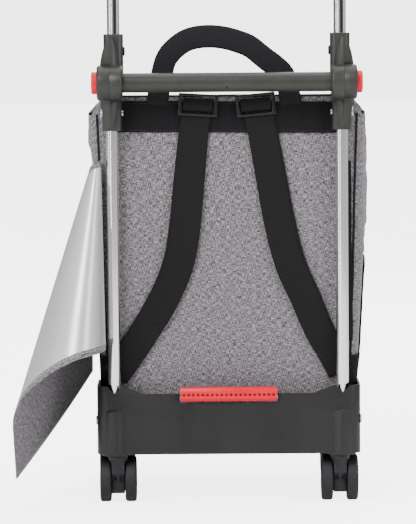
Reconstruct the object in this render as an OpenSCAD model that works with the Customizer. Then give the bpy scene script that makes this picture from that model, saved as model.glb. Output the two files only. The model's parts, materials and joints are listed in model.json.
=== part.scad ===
// Four-caster shopping trolley with a folding handle and a removable backpack bag.
// Millimetres. +Z is up, +Y is towards the bag's front, -Y is towards the person who
// pushes it, and +X is to that person's right. The origin lies on the floor, under the
// middle of the base tray.

/* [Base tray] */
// Outside width of the moulded tray
tray_w = 342; // [290:1:420]
// Outside depth of the moulded tray
tray_d = 250; // [220:1:310]
// Thickness of the tray's walls
tray_wall = 3; // [2.5:0.5:4]
// Thickness of the tray's floor
tray_floor = 3; // [2.5:0.5:5]
// Radius of the tray's corners, seen from above
tray_corner_r = 14; // [8:1:20]
// Height of the rear wall between the tubes
rear_wall_h = 79; // [70:1:100]
// Height of the rear wall at the corners
corner_wall_h = 89; // [80:1:120]
// Height of the front lip
front_lip_h = 30; // [24:1:40]
// Height of the floor ribs that the bag stands on
rib_h = 17; // [16:1:24]
// Radius of the round bosses that hold the tubes and the caster stems
boss_r = 16.5; // [14:0.5:18]
// Height of the rear bosses' tops over the tray's floor
boss_h = 56; // [45:1:62]

/* [Tubes and handle] */
// Outside diameter of the aluminium tubes
tube_d = 16; // [14:1:18]
// Wall of the aluminium tubes
tube_wall = 1.5; // [1:0.25:2]
// Height of the handle's folding axis over the floor
hinge_z = 548; // [480:1:640]
// Height of the grip's top over the floor
handle_top_z = 972; // [900:1:1010]
// Distance of the folding axis behind the lower tubes
hinge_offset = 22; // [21:1:26]
// Distance that the upper tubes stand in from the lower ones
upper_inset = 2.5; // [0:0.5:4]
// Diameter of the crossbar between the knuckles
crossbar_d = 25; // [20:1:28]
// Diameter of the moulded grip
grip_d = 30; // [26:1:34]

/* [Folding knuckle] */
// Diameter of the round knuckle
hub_d = 44.6; // [43:0.2:50]
// Width of the knuckle along its axis, both halves
hub_w = 33; // [31:1:38]
// Length of each tube socket, from the folding axis
socket_len = 62; // [58:1:72]
// Width of the tube sockets
socket_w = 25; // [24:0.5:27]
// Diameter of the push button
button_d = 28.6; // [26:0.2:30]
// Distance that the button stands out of the knuckle
button_out = 7.2; // [6:0.2:9]
// Travel of the button
button_travel = 5; // [4:0.5:5]

/* [Casters] */
// Diameter of the wheels
wheel_d = 60; // [50:1:62]
// Width of one wheel
wheel_w = 14.6; // [12:0.2:16]
// Width of the fork between the wheels
fork_w = 16.5; // [14:0.5:20]
// Height of the caster under its boss
caster_h = 64; // [62:1:80]
// Distance of the axle behind the stem
trail = 20; // [14:1:24]
// Diameter of the steel stem
stem_d = 11; // [8:0.5:12]
// Distance between the front and rear stems
wheelbase = 204; // [180:1:210]
// Distance that a rear stem stands in from its tube
stem_inset = 3.5; // [0:0.5:5]

/* [Latch] */
// Length of the latch lever
lever_w = 125; // [90:1:150]
// Number of holes along the lever
lever_holes = 20; // [8:1:20]
// Diameter of the holes
lever_hole_d = 3.5; // [2.5:0.5:4]

/* [Bag] */
// Height of the bag's walls under the lid
bag_h = 419; // [340:1:510]
// Height of the lid over the bag's walls
lid_h = 25; // [18:1:30]
// Depth of the bag at its foot
bag_d = 210; // [180:1:215]
// Flare of each side from foot to top
bag_flare = 16; // [6:1:20]
// Thickness of the padded fabric
bag_wall = 3; // [2:0.5:5]
// Radius of the bag's corners, seen from above
bag_corner_r = 22; // [16:1:28]
// Height of the dark foot section over the bag's bottom
foot_h = 104; // [80:1:140]
// Width of the webbing on straps and band
webbing_w = 40; // [30:1:45]
// Width of the rear cover flap, as cut
flap_w = 370; // [300:1:390]
// Height of the rear cover flap, as cut
flap_h = 240; // [200:1:250]

/* [Hidden] */
$fn = 64;

// Clearances
fixed_gap = 0.05;      // round pieces pressed or screwed together
run_gap = 0.06;        // round pieces that turn in each other, on the radius
face_gap = 0.3;        // faces of different bodies that move past each other
eps = 1;               // overshoot of a cutter

// Tray
tray_z = caster_h + 2;
floor_z = tray_z + tray_floor;
bag_z = floor_z + rib_h;
tray_back_y = -tray_d / 2;
rib_margin = 81;                 // outermost ribs, in from the tray's sides
rib_pitch = (tray_w - 2 * rib_margin) / 4;
cross_rib_pitch = 60;
rib_t = 2.5;
low_wall_x = tray_w / 2 - 61;    // the rear wall is low out to here
high_wall_x = tray_w / 2 - 35;   // and has risen to its corners here
boss_screw_z = tray_z + 44;

// Tubes and folding axis
tube_r = tube_d / 2;
tube_y = tray_back_y + tray_wall + tube_r + 1;
tube_x = tray_w / 2 - 23;
upper_x = tube_x - upper_inset;
hub_x = tube_x + 2;
hub_r = hub_d / 2;
hinge_y = tube_y - hinge_offset;
half_w = hub_w / 2;
seam = 0.15;
tube_start = hub_r - 3;          // distance of the tube ends from the folding axis
screw_at = 40;                   // distance of the socket screws from the folding axis
screw_r = 2.5;
screw_head_r = 5.7;
screw_head_h = 2.3;
tube_foot_z = floor_z + 20;
grip_r = grip_d / 2;
grip_z = handle_top_z - grip_r;
grip_core_r = grip_r - 4;

// Knuckle interior, measured outwards from its seam
spigot_r = 19;
spigot_len = 6;
cavity_r = 16.2;
cavity_depth = 12;
gear_r = 15.6;
gear_root_r = 13.6;
gear_w = 7;
gear_in = button_travel - 2;     // pressed, the gear leaves the outer half's splines
gear_teeth = 12;
tooth_w = 4.2;
spline_end = gear_in + gear_w + 0.2;
cap_in = spline_end + button_travel + 0.2;
spring_r = 8;
spring_wire = 1.3;
spring_turns = 5;
plug_len = 12;
dish_r = 40;
dish_depth = 1.1;
crossbar_wall = 2.5;
bar_screw_r = 1;
grip_socket = 34;                // length of the grip's tube sockets
grip_socket_r = grip_r - 2.6;

// Casters
wheel_r = wheel_d / 2;
axle_r = 3;
stem_r = stem_d / 2;
stem_top = 19;                   // length of stem inside the boss
rear_stem_x = tube_x - stem_inset;
front_spread = 7;                // the front stems stand this much further out
front_stem_x = rear_stem_x + front_spread;
rear_stem_y = tube_y;
front_stem_y = tube_y + wheelbase;
wheel_gap = 0.9;
fork_foot_z = 13;

// Latch
pin_r = 2;
pin_z = tray_z + rear_wall_h - 6;
pin_y = tray_back_y + 4;
ear_w = 8;
lever_gap = 1.2;

// Bag
strap_t = 5;
bag_gap = 4;
foot_t = 1.8;
back_y = tube_y + tube_r + strap_t + 2;
bag_w = tray_w - 2 * (tray_wall + bag_gap + foot_t);
wall_top_z = bag_z + bag_h;
bag_top_z = wall_top_z + lid_h;
bag_top_w = bag_w + 2 * bag_flare;
bag_top_d = bag_d + 8;
skin = 0.1;                      // between fabric pieces that lie on each other
slab_t = 1;
hinge_line_y = back_y + bag_wall;
band_z = bag_top_z - 8 - webbing_w / 2;
slider_z = bag_top_z - 12;
slider_x = 37.5;
slider_tilt = 4;

// ---------- shapes ----------

module rounded_rect(w, d, r) {
    square([w - 2 * r, d], center = true);
    square([w, d - 2 * r], center = true);
    for (x = [-1, 1], y = [-1, 1])
        translate([x * (w / 2 - r), y * (d / 2 - r)]) circle(r);
}

module rod(r, x0, x1) {
    translate([x0, 0, 0]) rotate([0, 90, 0]) cylinder(r = r, h = x1 - x0);
}

// One quarter of a disc's outline, cut off and rounded again at its rim.
module rim_cut(r, rim) {
    if (rim > 0) difference() {
        translate([r - rim, -eps]) square([rim + eps, rim + eps]);
        translate([r - rim, rim]) circle(rim);
    }
}

// A disc along X with rounded rims.
module round_disc(r, x0, x1, rim0, rim1) {
    translate([x0, 0, 0]) rotate([0, 90, 0]) rotate_extrude() difference() {
        square([r, x1 - x0]);
        rim_cut(r, rim0);
        translate([0, x1 - x0]) mirror([0, 1]) rim_cut(r, rim1);
    }
}

// A closed skin over rings that all have the same even count of points. Each end is a
// strip of triangles between the ring's two halves, so it may be a curved one.
module ring_skin(rings) {
    n = len(rings[0]);
    m = len(rings);
    z = (m - 1) * n;
    polyhedron(
        points = [for (r = rings) each r],
        faces = concat(
            [for (i = [0:n / 2 - 2]) each [[n - 1 - i, n - 2 - i, i], [n - 2 - i, i + 1, i]]],
            [for (i = [0:n / 2 - 2])
                each [[z + i, z + n - 2 - i, z + n - 1 - i], [z + i, z + i + 1, z + n - 2 - i]]],
            [for (j = [0:m - 2], i = [0:n - 1])
                [j * n + i, j * n + (i + 1) % n, (j + 1) * n + (i + 1) % n]],
            [for (j = [0:m - 2], i = [0:n - 1])
                [j * n + i, (j + 1) * n + (i + 1) % n, (j + 1) * n + i]]),
        convexity = 6);
}

function unit(v) = v / norm(v);
function catmull(p, i, t) =
    let (a = p[max(i - 1, 0)], b = p[i], c = p[i + 1], d = p[min(i + 2, len(p) - 1)])
    0.5 * (2 * b + (c - a) * t + (2 * a - 5 * b + 4 * c - d) * t * t
        + (3 * b - a - 3 * c + d) * t * t * t);
function smooth(p, steps) = concat(
    [for (i = [0:len(p) - 2], k = [0:steps - 1]) catmull(p, i, k / steps)],
    [p[len(p) - 1]]);

// A flat ribbon in an XZ plane along points [x, z], between y0 and y1.
module ribbon(path, w, y0, y1, steps = 3) {
    q = smooth(path, steps);
    n = len(q);
    ring_skin([for (i = [0:n - 1])
        let (d = unit(q[min(i + 1, n - 1)] - q[max(i - 1, 0)]),
             s = [-d[1], d[0]] * w / 2,
             a = q[i] - s,
             b = q[i] + s)
        [[a[0], y0, a[1]], [b[0], y0, b[1]], [b[0], y1, b[1]], [a[0], y1, a[1]]]]);
}

// A compression spring along X.
module coil(r, wire, len, turns) {
    per = 14;
    sides = 6;
    n = per * turns;
    ring_skin([for (i = [0:n])
        let (a = 360 * i / per, c = wire / 2 + (len - wire) * i / n)
        [for (k = [0:sides - 1])
            let (b = 360 * k / sides, q = r + wire / 2 * cos(b))
            [c + wire / 2 * sin(b), q * cos(a), q * sin(a)]]]);
}

module mirror_left(side) {
    if (side < 0) mirror([1, 0, 0]) children();
    else children();
}

// Everything of the knuckle is drawn for the right side, from its seam outwards.
module at_hinge() {
    translate([hub_x, hinge_y, hinge_z]) children();
}

// ---------- base tray ----------

module tray_outline(grow) {
    rounded_rect(tray_w + 2 * grow, tray_d + 2 * grow, tray_corner_r + grow);
}

module tray_top_cut() {
    // Side view: the walls sweep down from the rear to the front lip.
    rotate([90, 0, 90]) translate([0, 0, -tray_w]) linear_extrude(2 * tray_w)
        polygon([[tray_back_y - eps, corner_wall_h], [tray_back_y + tray_d * 0.3, corner_wall_h],
                 [tray_d * 0.14, front_lip_h + 14], [tray_d * 0.3, front_lip_h],
                 [tray_d / 2 + eps, front_lip_h], [tray_d / 2 + eps, 200], [tray_back_y - eps, 200]]);
    // Rear view: the wall is lower between the tubes, and notched in front of each tube.
    rotate([90, 0, 0]) translate([0, 0, -tray_back_y - tray_wall - eps])
        linear_extrude(tray_wall + 2 * eps) {
        polygon([[-low_wall_x, rear_wall_h], [low_wall_x, rear_wall_h], [high_wall_x, corner_wall_h],
                 [high_wall_x, 200], [-high_wall_x, 200], [-high_wall_x, corner_wall_h]]);
        for (s = [-1, 1]) translate([s * tube_x, 0])
            polygon([[-tube_r, corner_wall_h + eps], [-tube_r, corner_wall_h - 2],
                     [0, corner_wall_h - 10], [tube_r, corner_wall_h - 2], [tube_r, corner_wall_h + eps]]);
        translate([-lever_w / 2 - lever_gap, pin_z - tray_z - 6.5])
            square([lever_w + 2 * lever_gap, 200]);
    }
}

module boss_clip() {
    translate([-tray_w, tray_back_y - 30, 0]) cube([2 * tray_w, back_y - 2 - (tray_back_y - 30), 400]);
}

module base_tray() {
    color([0.24, 0.24, 0.235])
    difference() {
        union() {
            difference() {
                translate([0, 0, tray_z]) linear_extrude(corner_wall_h) tray_outline(0);
                translate([0, 0, floor_z]) linear_extrude(corner_wall_h) tray_outline(-tray_wall);
                translate([0, 0, tray_z]) tray_top_cut();
            }
            // Bosses for the tubes and rear stems, and for the front stems
            intersection() {
                for (s = [-1, 1]) translate([s * tube_x, tube_y, caster_h]) {
                    cylinder(r = boss_r, h = tray_z + boss_h - caster_h);
                    translate([0, 0, tray_z + boss_h - caster_h])
                        cylinder(r1 = boss_r, r2 = boss_r - 2.5, h = 2.5);
                }
                boss_clip();
            }
            for (s = [-1, 1]) {
                translate([s * front_stem_x, front_stem_y, caster_h])
                    cylinder(r = boss_r, h = bag_z - 0.5 - caster_h);
                translate([s * rear_stem_x, rear_stem_y, caster_h])
                    cylinder(r = boss_r, h = floor_z - caster_h);
            }
            // Ribs that the bag stands on
            for (i = [-2:2])
                translate([i * rib_pitch - rib_t / 2, -tray_d / 2 + 34, floor_z - 0.5])
                    cube([rib_t, tray_d - 54, rib_h + 0.5]);
            for (i = [-1:1])
                translate([-tray_w / 2 + 52, i * cross_rib_pitch - rib_t / 2, floor_z - 0.5])
                    cube([tray_w - 104, rib_t, rib_h + 0.5]);
            // Ears of the latch pin
            for (s = [-1, 1])
                translate([s * (lever_w / 2 + lever_gap + ear_w / 2), pin_y - 0.2, pin_z - 1])
                    cube([ear_w, 7.6, 13], center = true);
            // Pad under the floor
            translate([0, 0, tray_z - 1.5]) linear_extrude(2) rounded_rect(70, 50, 8);
        }
        for (s = [-1, 1]) {
            translate([s * tube_x, tube_y, tube_foot_z]) cylinder(r = tube_r + fixed_gap, h = 200);
            translate([s * rear_stem_x, rear_stem_y, caster_h - eps])
                cylinder(r = stem_r + run_gap, h = stem_top + 1 + eps);
            translate([s * front_stem_x, front_stem_y, caster_h - eps])
                cylinder(r = stem_r + run_gap, h = stem_top + 1 + eps);
            // Hole of the side screw that holds the tube
            translate([s * tube_x, tube_y, boss_screw_z]) rotate([0, s * 90, 0])
                cylinder(r = screw_r + fixed_gap, h = 60);
        }
        translate([0, pin_y, pin_z]) rod(pin_r + fixed_gap, -lever_w / 2 - 20, lever_w / 2 + 20);
    }
}

// ---------- tubes ----------

module tube(x, z0, z1, hole_z) {
    color([0.8, 0.8, 0.8])
    translate([x, tube_y, 0]) difference() {
        translate([0, 0, z0]) cylinder(r = tube_r, h = z1 - z0);
        translate([0, 0, z0 - eps]) cylinder(r = tube_r - tube_wall, h = z1 - z0 + 2 * eps);
        for (z = hole_z) translate([0, 0, z]) rod(screw_r + fixed_gap, -tube_d, tube_d);
    }
}

module lower_tube(s) {
    tube(s * tube_x, tube_foot_z, hinge_z - tube_start, [boss_screw_z, hinge_z - screw_at]);
}

module upper_tube(s) {
    tube(s * upper_x, hinge_z + tube_start, grip_z - 4, [hinge_z + screw_at, grip_z - grip_socket]);
}

// ---------- folding knuckle ----------

// A tube socket with its fairing, standing up from the folding axis.
module socket(x) {
    translate([x - hub_x, hinge_offset, 0.3]) linear_extrude(socket_len - 0.3)
        rounded_rect(socket_w, socket_w + 1, 6);
    // Pointed fairing over the knuckle, rounded like a thumb nail
    intersection() {
        translate([0, 20, 0]) rotate([90, 0, 0]) linear_extrude(40) intersection() {
            translate([-half_w * 0.82 + 120, 8]) circle(120, $fn = 128);
            translate([half_w * 0.82 - 120, 8]) circle(120, $fn = 128);
            translate([-20, 4]) square([40, socket_len - 9]);
        }
        translate([0, 15, 0]) cylinder(r = 14, h = socket_len);
    }
}

// One bracket, drawn for its own half at x < 0 (own = -1) or x > 0 (own = 1).
module bracket_body(x, own) {
    reach = half_w + plug_len;
    difference() {
        socket(x);
        // The other half's knuckle turns here.
        rod(hub_r + face_gap, min(0, -own * reach), max(0, -own * reach));
    }
    if (own > 0) round_disc(hub_r, seam, half_w, 0, 3);
    else round_disc(hub_r, -half_w, -seam, 3, 0);
}

module lower_bracket(s) {
    color([0.27, 0.27, 0.26])
    mirror_left(s) at_hinge() difference() {
        mirror([0, 0, 1]) bracket_body(tube_x, 1);
        rod(spigot_r + run_gap, seam - eps, spigot_len + 0.2);
        // Splines that the lock gear slides in
        difference() {
            rod(cavity_r, spigot_len - eps, spline_end);
            for (a = [0:gear_teeth - 1]) rotate([360 * (a + 0.5) / gear_teeth, 0, 0])
                translate([spigot_len + 0.2, -1.2, gear_root_r + 0.5])
                    cube([spline_end, 2.4, 6]);
        }
        rod(button_d / 2 + 0.2, spline_end - 0.1, half_w + eps);
        // Tube socket and its screw
        translate([tube_x - hub_x, hinge_offset, -socket_len - eps])
            cylinder(r = tube_r + fixed_gap, h = socket_len - tube_start + eps);
        translate([0, hinge_offset, -screw_at]) rod(screw_r + fixed_gap, -60, 60);
    }
}

module upper_bracket(s) {
    color([0.27, 0.27, 0.26])
    mirror_left(s) at_hinge() difference() {
        union() {
            bracket_body(upper_x, -1);
            rod(spigot_r, -seam - 1, spigot_len);
            // Plug that carries the crossbar
            rod(crossbar_d / 2 - crossbar_wall - fixed_gap, -half_w - plug_len, -half_w + 1);
        }
        rod(cavity_r, -cavity_depth, spigot_len + eps);
        translate([upper_x - hub_x, hinge_offset, tube_start])
            cylinder(r = tube_r + fixed_gap, h = socket_len);
        translate([0, hinge_offset, screw_at]) rod(screw_r + fixed_gap, -60, 60);
    }
}

module button(s) {
    color([0.87, 0.2, 0.24])
    mirror_left(s) at_hinge() difference() {
        union() {
            round_disc(button_d / 2, cap_in, half_w + button_out, 0, 2.5);
            // Core that pushes on the lock gear
            rod(gear_root_r - 0.6, gear_in + gear_w, cap_in + 1);
        }
        // Shallow dish for the thumb
        translate([half_w + button_out + dish_r - dish_depth, 0, 0]) sphere(r = dish_r, $fn = 96);
    }
}

module lock_gear(s) {
    color([0.55, 0.56, 0.58])
    mirror_left(s) at_hinge() difference() {
        union() {
            rod(gear_root_r, gear_in, gear_in + gear_w);
            for (a = [0:gear_teeth - 1]) rotate([360 * a / gear_teeth, 0, 0])
                translate([gear_in, -tooth_w / 2, gear_root_r - 2])
                    cube([gear_w, tooth_w, gear_r - gear_root_r + 1.7]);
        }
        rod(5, gear_in - eps, gear_in + 3);
    }
}

module button_spring(s) {
    color([0.75, 0.75, 0.76])
    mirror_left(s) at_hinge() translate([-cavity_depth + 0.1, 0, 0])
        coil(spring_r, spring_wire, cavity_depth + gear_in - 0.2, spring_turns);
}

// A cross screw with a low head, along +X from x0 to x1.
module screw(x0, x1) {
    rod(screw_r, x0, x1);
    round_disc(screw_head_r, x1, x1 + screw_head_h, 0, 1);
}

module frame_screws() {
    color([0.5, 0.5, 0.5])
    for (s = [-1, 1]) mirror_left(s) {
        translate([tube_x, tube_y, hinge_z - screw_at]) {
            screw(-socket_w / 2 - 1.2, socket_w / 2);
            translate([-socket_w / 2 - 1.2, 0, 0]) rod(3.4, -0.8, 1.2);
        }
        translate([0, tube_y, boss_screw_z]) {
            rod(screw_r, tube_x - 5, tray_w / 2 + 0.2);
            round_disc(screw_head_r, tray_w / 2, tray_w / 2 + 1.6, 0, 1);
        }
    }
}

module handle_screws() {
    color([0.12, 0.12, 0.12])
    for (s = [-1, 1]) mirror_left(s) {
        translate([upper_x, tube_y, hinge_z + screw_at]) mirror([1, 0, 0])
            screw(-socket_w / 2 + 3, socket_w / 2);
        translate([upper_x, tube_y, grip_z - grip_socket]) mirror([1, 0, 0])
            screw(-tube_r, grip_socket_r);
    }
    at_bar_screw() {
        cylinder(r = bar_screw_r, h = 3.1);
        translate([0, 0, 3.05]) cylinder(r1 = 1.6, r2 = 1.2, h = 0.7);
    }
}

// ---------- handle ----------

// The small screw in the middle of the crossbar points up and back.
module at_bar_screw() {
    translate([0, hinge_y, hinge_z]) rotate([120, 0, 0])
        translate([0, 0, crossbar_d / 2 - 3]) children();
}

module crossbar() {
    color([0.24, 0.24, 0.235])
    difference() {
        translate([0, hinge_y, hinge_z]) difference() {
            rod(crossbar_d / 2, -hub_x + half_w + fixed_gap, hub_x - half_w - fixed_gap);
            rod(crossbar_d / 2 - crossbar_wall, -hub_x, hub_x);
        }
        at_bar_screw() translate([0, 0, -eps]) cylinder(r = bar_screw_r + fixed_gap, h = 10);
    }
}

module handle_grip() {
    color([0.16, 0.16, 0.16])
    translate([0, tube_y, grip_z]) difference() {
        union() {
            rod(grip_core_r, -upper_x + 12, upper_x - 12);
            for (s = [-1, 1]) mirror_left(s) {
                // Corner elbow and the socket for the tube
                round_disc(grip_r, upper_x - grip_r - 2.4, upper_x + grip_r - 2.4, 2, 9);
                translate([upper_x, 0, -grip_r - grip_socket])
                    cylinder(r = grip_socket_r, h = grip_r + grip_socket);
            }
        }
        for (s = [-1, 1]) translate([s * upper_x, 0, 0]) {
            translate([0, 0, -80]) cylinder(r = tube_r + fixed_gap, h = 76);
            translate([0, 0, -grip_socket]) rod(screw_r + fixed_gap, -30, 30);
        }
    }
}

module grip_sleeve() {
    color([0.1, 0.1, 0.1])
    translate([0, tube_y, grip_z]) difference() {
        round_disc(grip_r - 0.5, -upper_x + 24, upper_x - 24, 4, 4);
        rod(grip_core_r + fixed_gap, -upper_x, upper_x);
    }
}

// ---------- latch ----------

module latch_lever() {
    pitch = (lever_w - 9) / (lever_holes - 1);
    color([0.87, 0.2, 0.24])
    translate([0, pin_y, pin_z]) difference() {
        translate([-lever_w / 2, 0, 0]) rotate([90, 0, 90]) linear_extrude(lever_w)
            polygon([[-8, -3.4], [-11, 0.4], [-11, 9.5], [-8, 14.4], [3, 14.4], [3, 9], [0, 9],
                     [2.8, 0], [2.8, -3.4]]);
        for (i = [0:lever_holes - 1])
            translate([-lever_w / 2 + 4.5 + i * pitch, -6, 5.4]) rotate([90, 0, 0])
                cylinder(r = lever_hole_d / 2, h = 10);
        rod(pin_r + run_gap, -lever_w, lever_w);
        // Pocket of the return spring
        translate([-9, -5, -10]) cube([18, 20, 15.2]);
    }
}

module latch_pin() {
    reach = lever_w / 2 + lever_gap + ear_w - 1;
    color([0.7, 0.7, 0.72])
    translate([0, pin_y, pin_z]) rod(pin_r, -reach, reach);
}

module latch_spring() {
    wire = 0.8;
    turns = 8;
    color([0.75, 0.75, 0.76])
    translate([0, pin_y, pin_z]) rotate([0, 90, 0]) rotate_extrude()
        for (i = [0:turns - 1])
            translate([pin_r + 0.75, (i - (turns - 1) / 2) * wire * 0.9]) circle(wire / 2, $fn = 24);
}

// ---------- casters ----------

function stem_place(c) = [
    (c[1] == "left" ? -1 : 1) * (c[0] == "rear" ? rear_stem_x : front_stem_x),
    c[0] == "rear" ? rear_stem_y : front_stem_y, 0];

module fork(at) {
    color([0.22, 0.22, 0.225])
    translate(at) difference() {
        union() {
            // Web between the wheels
            translate([-fork_w / 2, 0, 0]) rotate([90, 0, 90]) linear_extrude(fork_w) {
                translate([trail, wheel_r]) circle(wheel_r - fork_foot_z);
                polygon([[-7, caster_h - 1.5], [-7, 40], [trail - 17, wheel_r], [trail - 17, fork_foot_z],
                         [trail + 10, fork_foot_z], [trail + 15, wheel_r + 8], [12, caster_h - 1.5]]);
            }
            // Stem housing that narrows downwards
            translate([0, 0, 30]) cylinder(r1 = 2.5, r2 = 11.5, h = caster_h - 36);
            translate([0, 0, caster_h - 6]) cylinder(r = 12.5, h = 5.5);
            // Hood over the web
            translate([-fork_w / 2 - 0.5, 0, 0]) rotate([90, 0, 90]) linear_extrude(fork_w + 1)
                intersection() {
                    difference() {
                        translate([trail, wheel_r]) circle(wheel_r + 1.5);
                        translate([trail, wheel_r]) circle(wheel_r - 3);
                    }
                    polygon([[0, wheel_r + 6], [0, caster_h - 1.5],
                             [trail + 14, caster_h - 1.5], [trail + 14, wheel_r + 6]]);
                }
        }
        translate([0, 0, 42]) cylinder(r = stem_r + fixed_gap, h = 60);
        translate([0, trail, wheel_r]) rod(axle_r + fixed_gap, -30, 30);
    }
}

module stem(at) {
    color([0.72, 0.72, 0.74])
    translate(at) {
        translate([0, 0, 42.2]) cylinder(r = stem_r, h = caster_h + stem_top - 42.2 - 1.5);
        translate([0, 0, caster_h + stem_top - 1.5]) cylinder(r1 = stem_r, r2 = stem_r - 1.5, h = 1.5);
    }
}

module axle(at) {
    reach = fork_w / 2 + wheel_gap + wheel_w - 3;
    color([0.72, 0.72, 0.74])
    translate(at + [0, trail, wheel_r]) rod(axle_r, -reach, reach);
}

module wheel(at, s) {
    x0 = fork_w / 2 + wheel_gap;
    color([0.17, 0.17, 0.175])
    translate(at + [0, trail, wheel_r]) mirror_left(s) difference() {
        round_disc(wheel_r, x0, x0 + wheel_w, 3.4, 3.4);
        rod(axle_r + run_gap, x0 - eps, x0 + wheel_w - 3 + run_gap);
        // Dished outer face with a hub cap left standing
        translate([x0 + wheel_w, 0, 0]) rotate([0, -90, 0]) rotate_extrude()
            translate([9, -eps]) square([wheel_r - 9 - 7, 3.5 + eps]);
    }
}

// ---------- bag ----------

// The bag's outer shape, grown by g all round, from height z0 to z1 over the bag's bottom.
module bag_form(g, z0, z1) {
    hull()
        for (z = [z0, z1 - slab_t])
            translate([0, back_y + bag_d / 2 + 4 * z / bag_h, bag_z + z]) linear_extrude(slab_t)
                rounded_rect(bag_w + 2 * bag_flare * z / bag_h + 2 * g, bag_d + 8 * z / bag_h + 2 * g,
                             bag_corner_r + g, $fn = 32);
}

module bag_shell() {
    color([0.62, 0.6, 0.62])
    difference() {
        union() {
            bag_form(0, 0, bag_h);
            translate([-bag_w / 2 + bag_corner_r, back_y, wall_top_z - 5])
                cube([bag_w - 2 * bag_corner_r, bag_wall - 0.2, lid_h + 4.5]);
        }
        bag_form(-bag_wall, bag_wall, bag_h + 2);
    }
}

module bag_foot() {
    color([0.08, 0.08, 0.085])
    difference() {
        bag_form(foot_t, 0, foot_h);
        bag_form(skin, -2, foot_h + 2);
        translate([-bag_w / 2 + bag_corner_r - 6, back_y - 5, 0])
            cube([bag_w - 2 * bag_corner_r + 12, 30, 600]);
    }
}

module base_board() {
    color([0.1, 0.1, 0.1])
    translate([0, back_y + bag_d / 2, bag_z + bag_wall + skin]) linear_extrude(3)
        rounded_rect(bag_w - 2 * bag_wall - 4, bag_d - 2 * bag_wall - 4, bag_corner_r - bag_wall);
}

module back_band() {
    color([0.07, 0.07, 0.07])
    translate([-bag_w / 2 + bag_corner_r, back_y - 1.2 - skin, band_z - webbing_w / 2])
        cube([bag_w - 2 * bag_corner_r, 1.2, webbing_w]);
}

// Shoulder straps of doubled webbing, as [x, depth below the sliders].
strap_left_path = [[-38, 0], [-42, 32], [-48, 97], [-54.5, 164], [-64, 210], [-84, 255], [-112, 300],
                   [-129, 325], [-148, 352]];
strap_right_path = [[38, 0], [45, 32], [56, 97], [67.5, 160], [81, 210], [99, 250], [118, 294],
                    [133, 320], [148, 348]];

strap_drop = 352;                // the depth at which a path meets the corner above its boss
strap_end_z = floor_z + boss_h + 41;

module strap(path) {
    k = (slider_z - strap_end_z) / strap_drop;
    color([0.09, 0.09, 0.09])
    ribbon([for (p = path) [p[0], slider_z - k * p[1]]], webbing_w - 2, back_y - strap_t, back_y - 2);
}

module strap_sliders() {
    frame_w = webbing_w + 11;
    color([0.13, 0.13, 0.13])
    for (s = [-1, 1])
        translate([s * slider_x, back_y - strap_t - skin, slider_z]) rotate([90, s * slider_tilt, 0])
            linear_extrude(4.5) difference() {
                rounded_rect(frame_w, 29, 3);
                for (z = [-1, 1]) translate([0, z * 7.2]) rounded_rect(frame_w - 10, 8, 1.5);
            }
}

// The carrying loop: a webbing arch that stands over the bag's top edge.
loop_path = [[-92, -32], [-89, -3], [-83, 30], [-77, 49], [-66, 62], [-49, 73], [-26, 77], [-3, 75],
             [18, 69], [31, 63], [47, 50], [64, 37], [75, 24], [82, -4], [86, -32]];
loop_w = 28;

module top_handle() {
    color([0.08, 0.08, 0.08])
    ribbon([for (p = loop_path) [p[0], bag_top_z + p[1]]], loop_w, back_y - 4.2, back_y - 1.4);
}

// The rear cover hangs open from the bag's left edge. It is a flat rectangle rolled on a
// cone: every point keeps its distance from the cone's tip, so nothing stretches.
flap_t = 2.4;
flap_lead = 31;                  // height of the cone's tip over the flap's top edge
flap_top = bag_h + lid_h - 83;   // height of the flap's top edge over the bag's bottom
flap_tip = [-max(bag_w / 2 + 2, tube_x + tube_r + 8.2), back_y - 1, bag_z + flap_top + flap_lead];
// Rays of the cone, as degrees off straight down [left, back]: a bend, then a straight run.
flap_fold = [[0, 0], [-7, 38], [20, 20], [17, 9]];
flap_end = [2, -31];
fold_steps = 72;
fold_len = 2.4;                  // the bend is the first 1.0 of it

function fold_at(t) =
    t <= 1
    ? pow(1 - t, 3) * flap_fold[0] + 3 * pow(1 - t, 2) * t * flap_fold[1]
        + 3 * (1 - t) * t * t * flap_fold[2] + t * t * t * flap_fold[3]
    : flap_fold[3] + (t - 1) * (flap_end - flap_fold[3]);
function fold_ray(t) =
    let (p = fold_at(t), r = norm(p), k = r < 0.001 ? 0 : sin(r) / r)
    [-k * p[0], -k * p[1], -cos(r)];
// Table from the angle rolled off along the cone to the place on its fold
function fold_sum(i, a) =
    let (t0 = fold_len * i / fold_steps, t1 = fold_len * (i + 1) / fold_steps)
    i >= fold_steps
    ? [a]
    : concat([a], fold_sum(i + 1, [a[0] + acos(min(1, fold_ray(t0) * fold_ray(t1))), t1]));
fold_table = fold_sum(0, [0, 0]);
function flap_point(u, v) =
    let (w = v + flap_lead)
    flap_tip + norm([u, w]) * fold_ray(lookup(atan2(u, w), fold_table));
function flap_normal(u, v) =
    unit(cross(flap_point(u + 2, v) - flap_point(u, v), flap_point(u, v + 2) - flap_point(u, v)));

module cover_flap() {
    nu = 28;
    nv = 8;
    color([0.75, 0.74, 0.75])
    ring_skin([for (i = [0:nu])
        let (u = flap_w * pow(i / nu, 1.5))
        [for (side = [-1, 1], j = [0:nv])
            let (v = flap_h * (side < 0 ? j : nv - j) / nv)
            flap_point(u, v) + side * flap_normal(u, v) * flap_t / 2]]);
}

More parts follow.
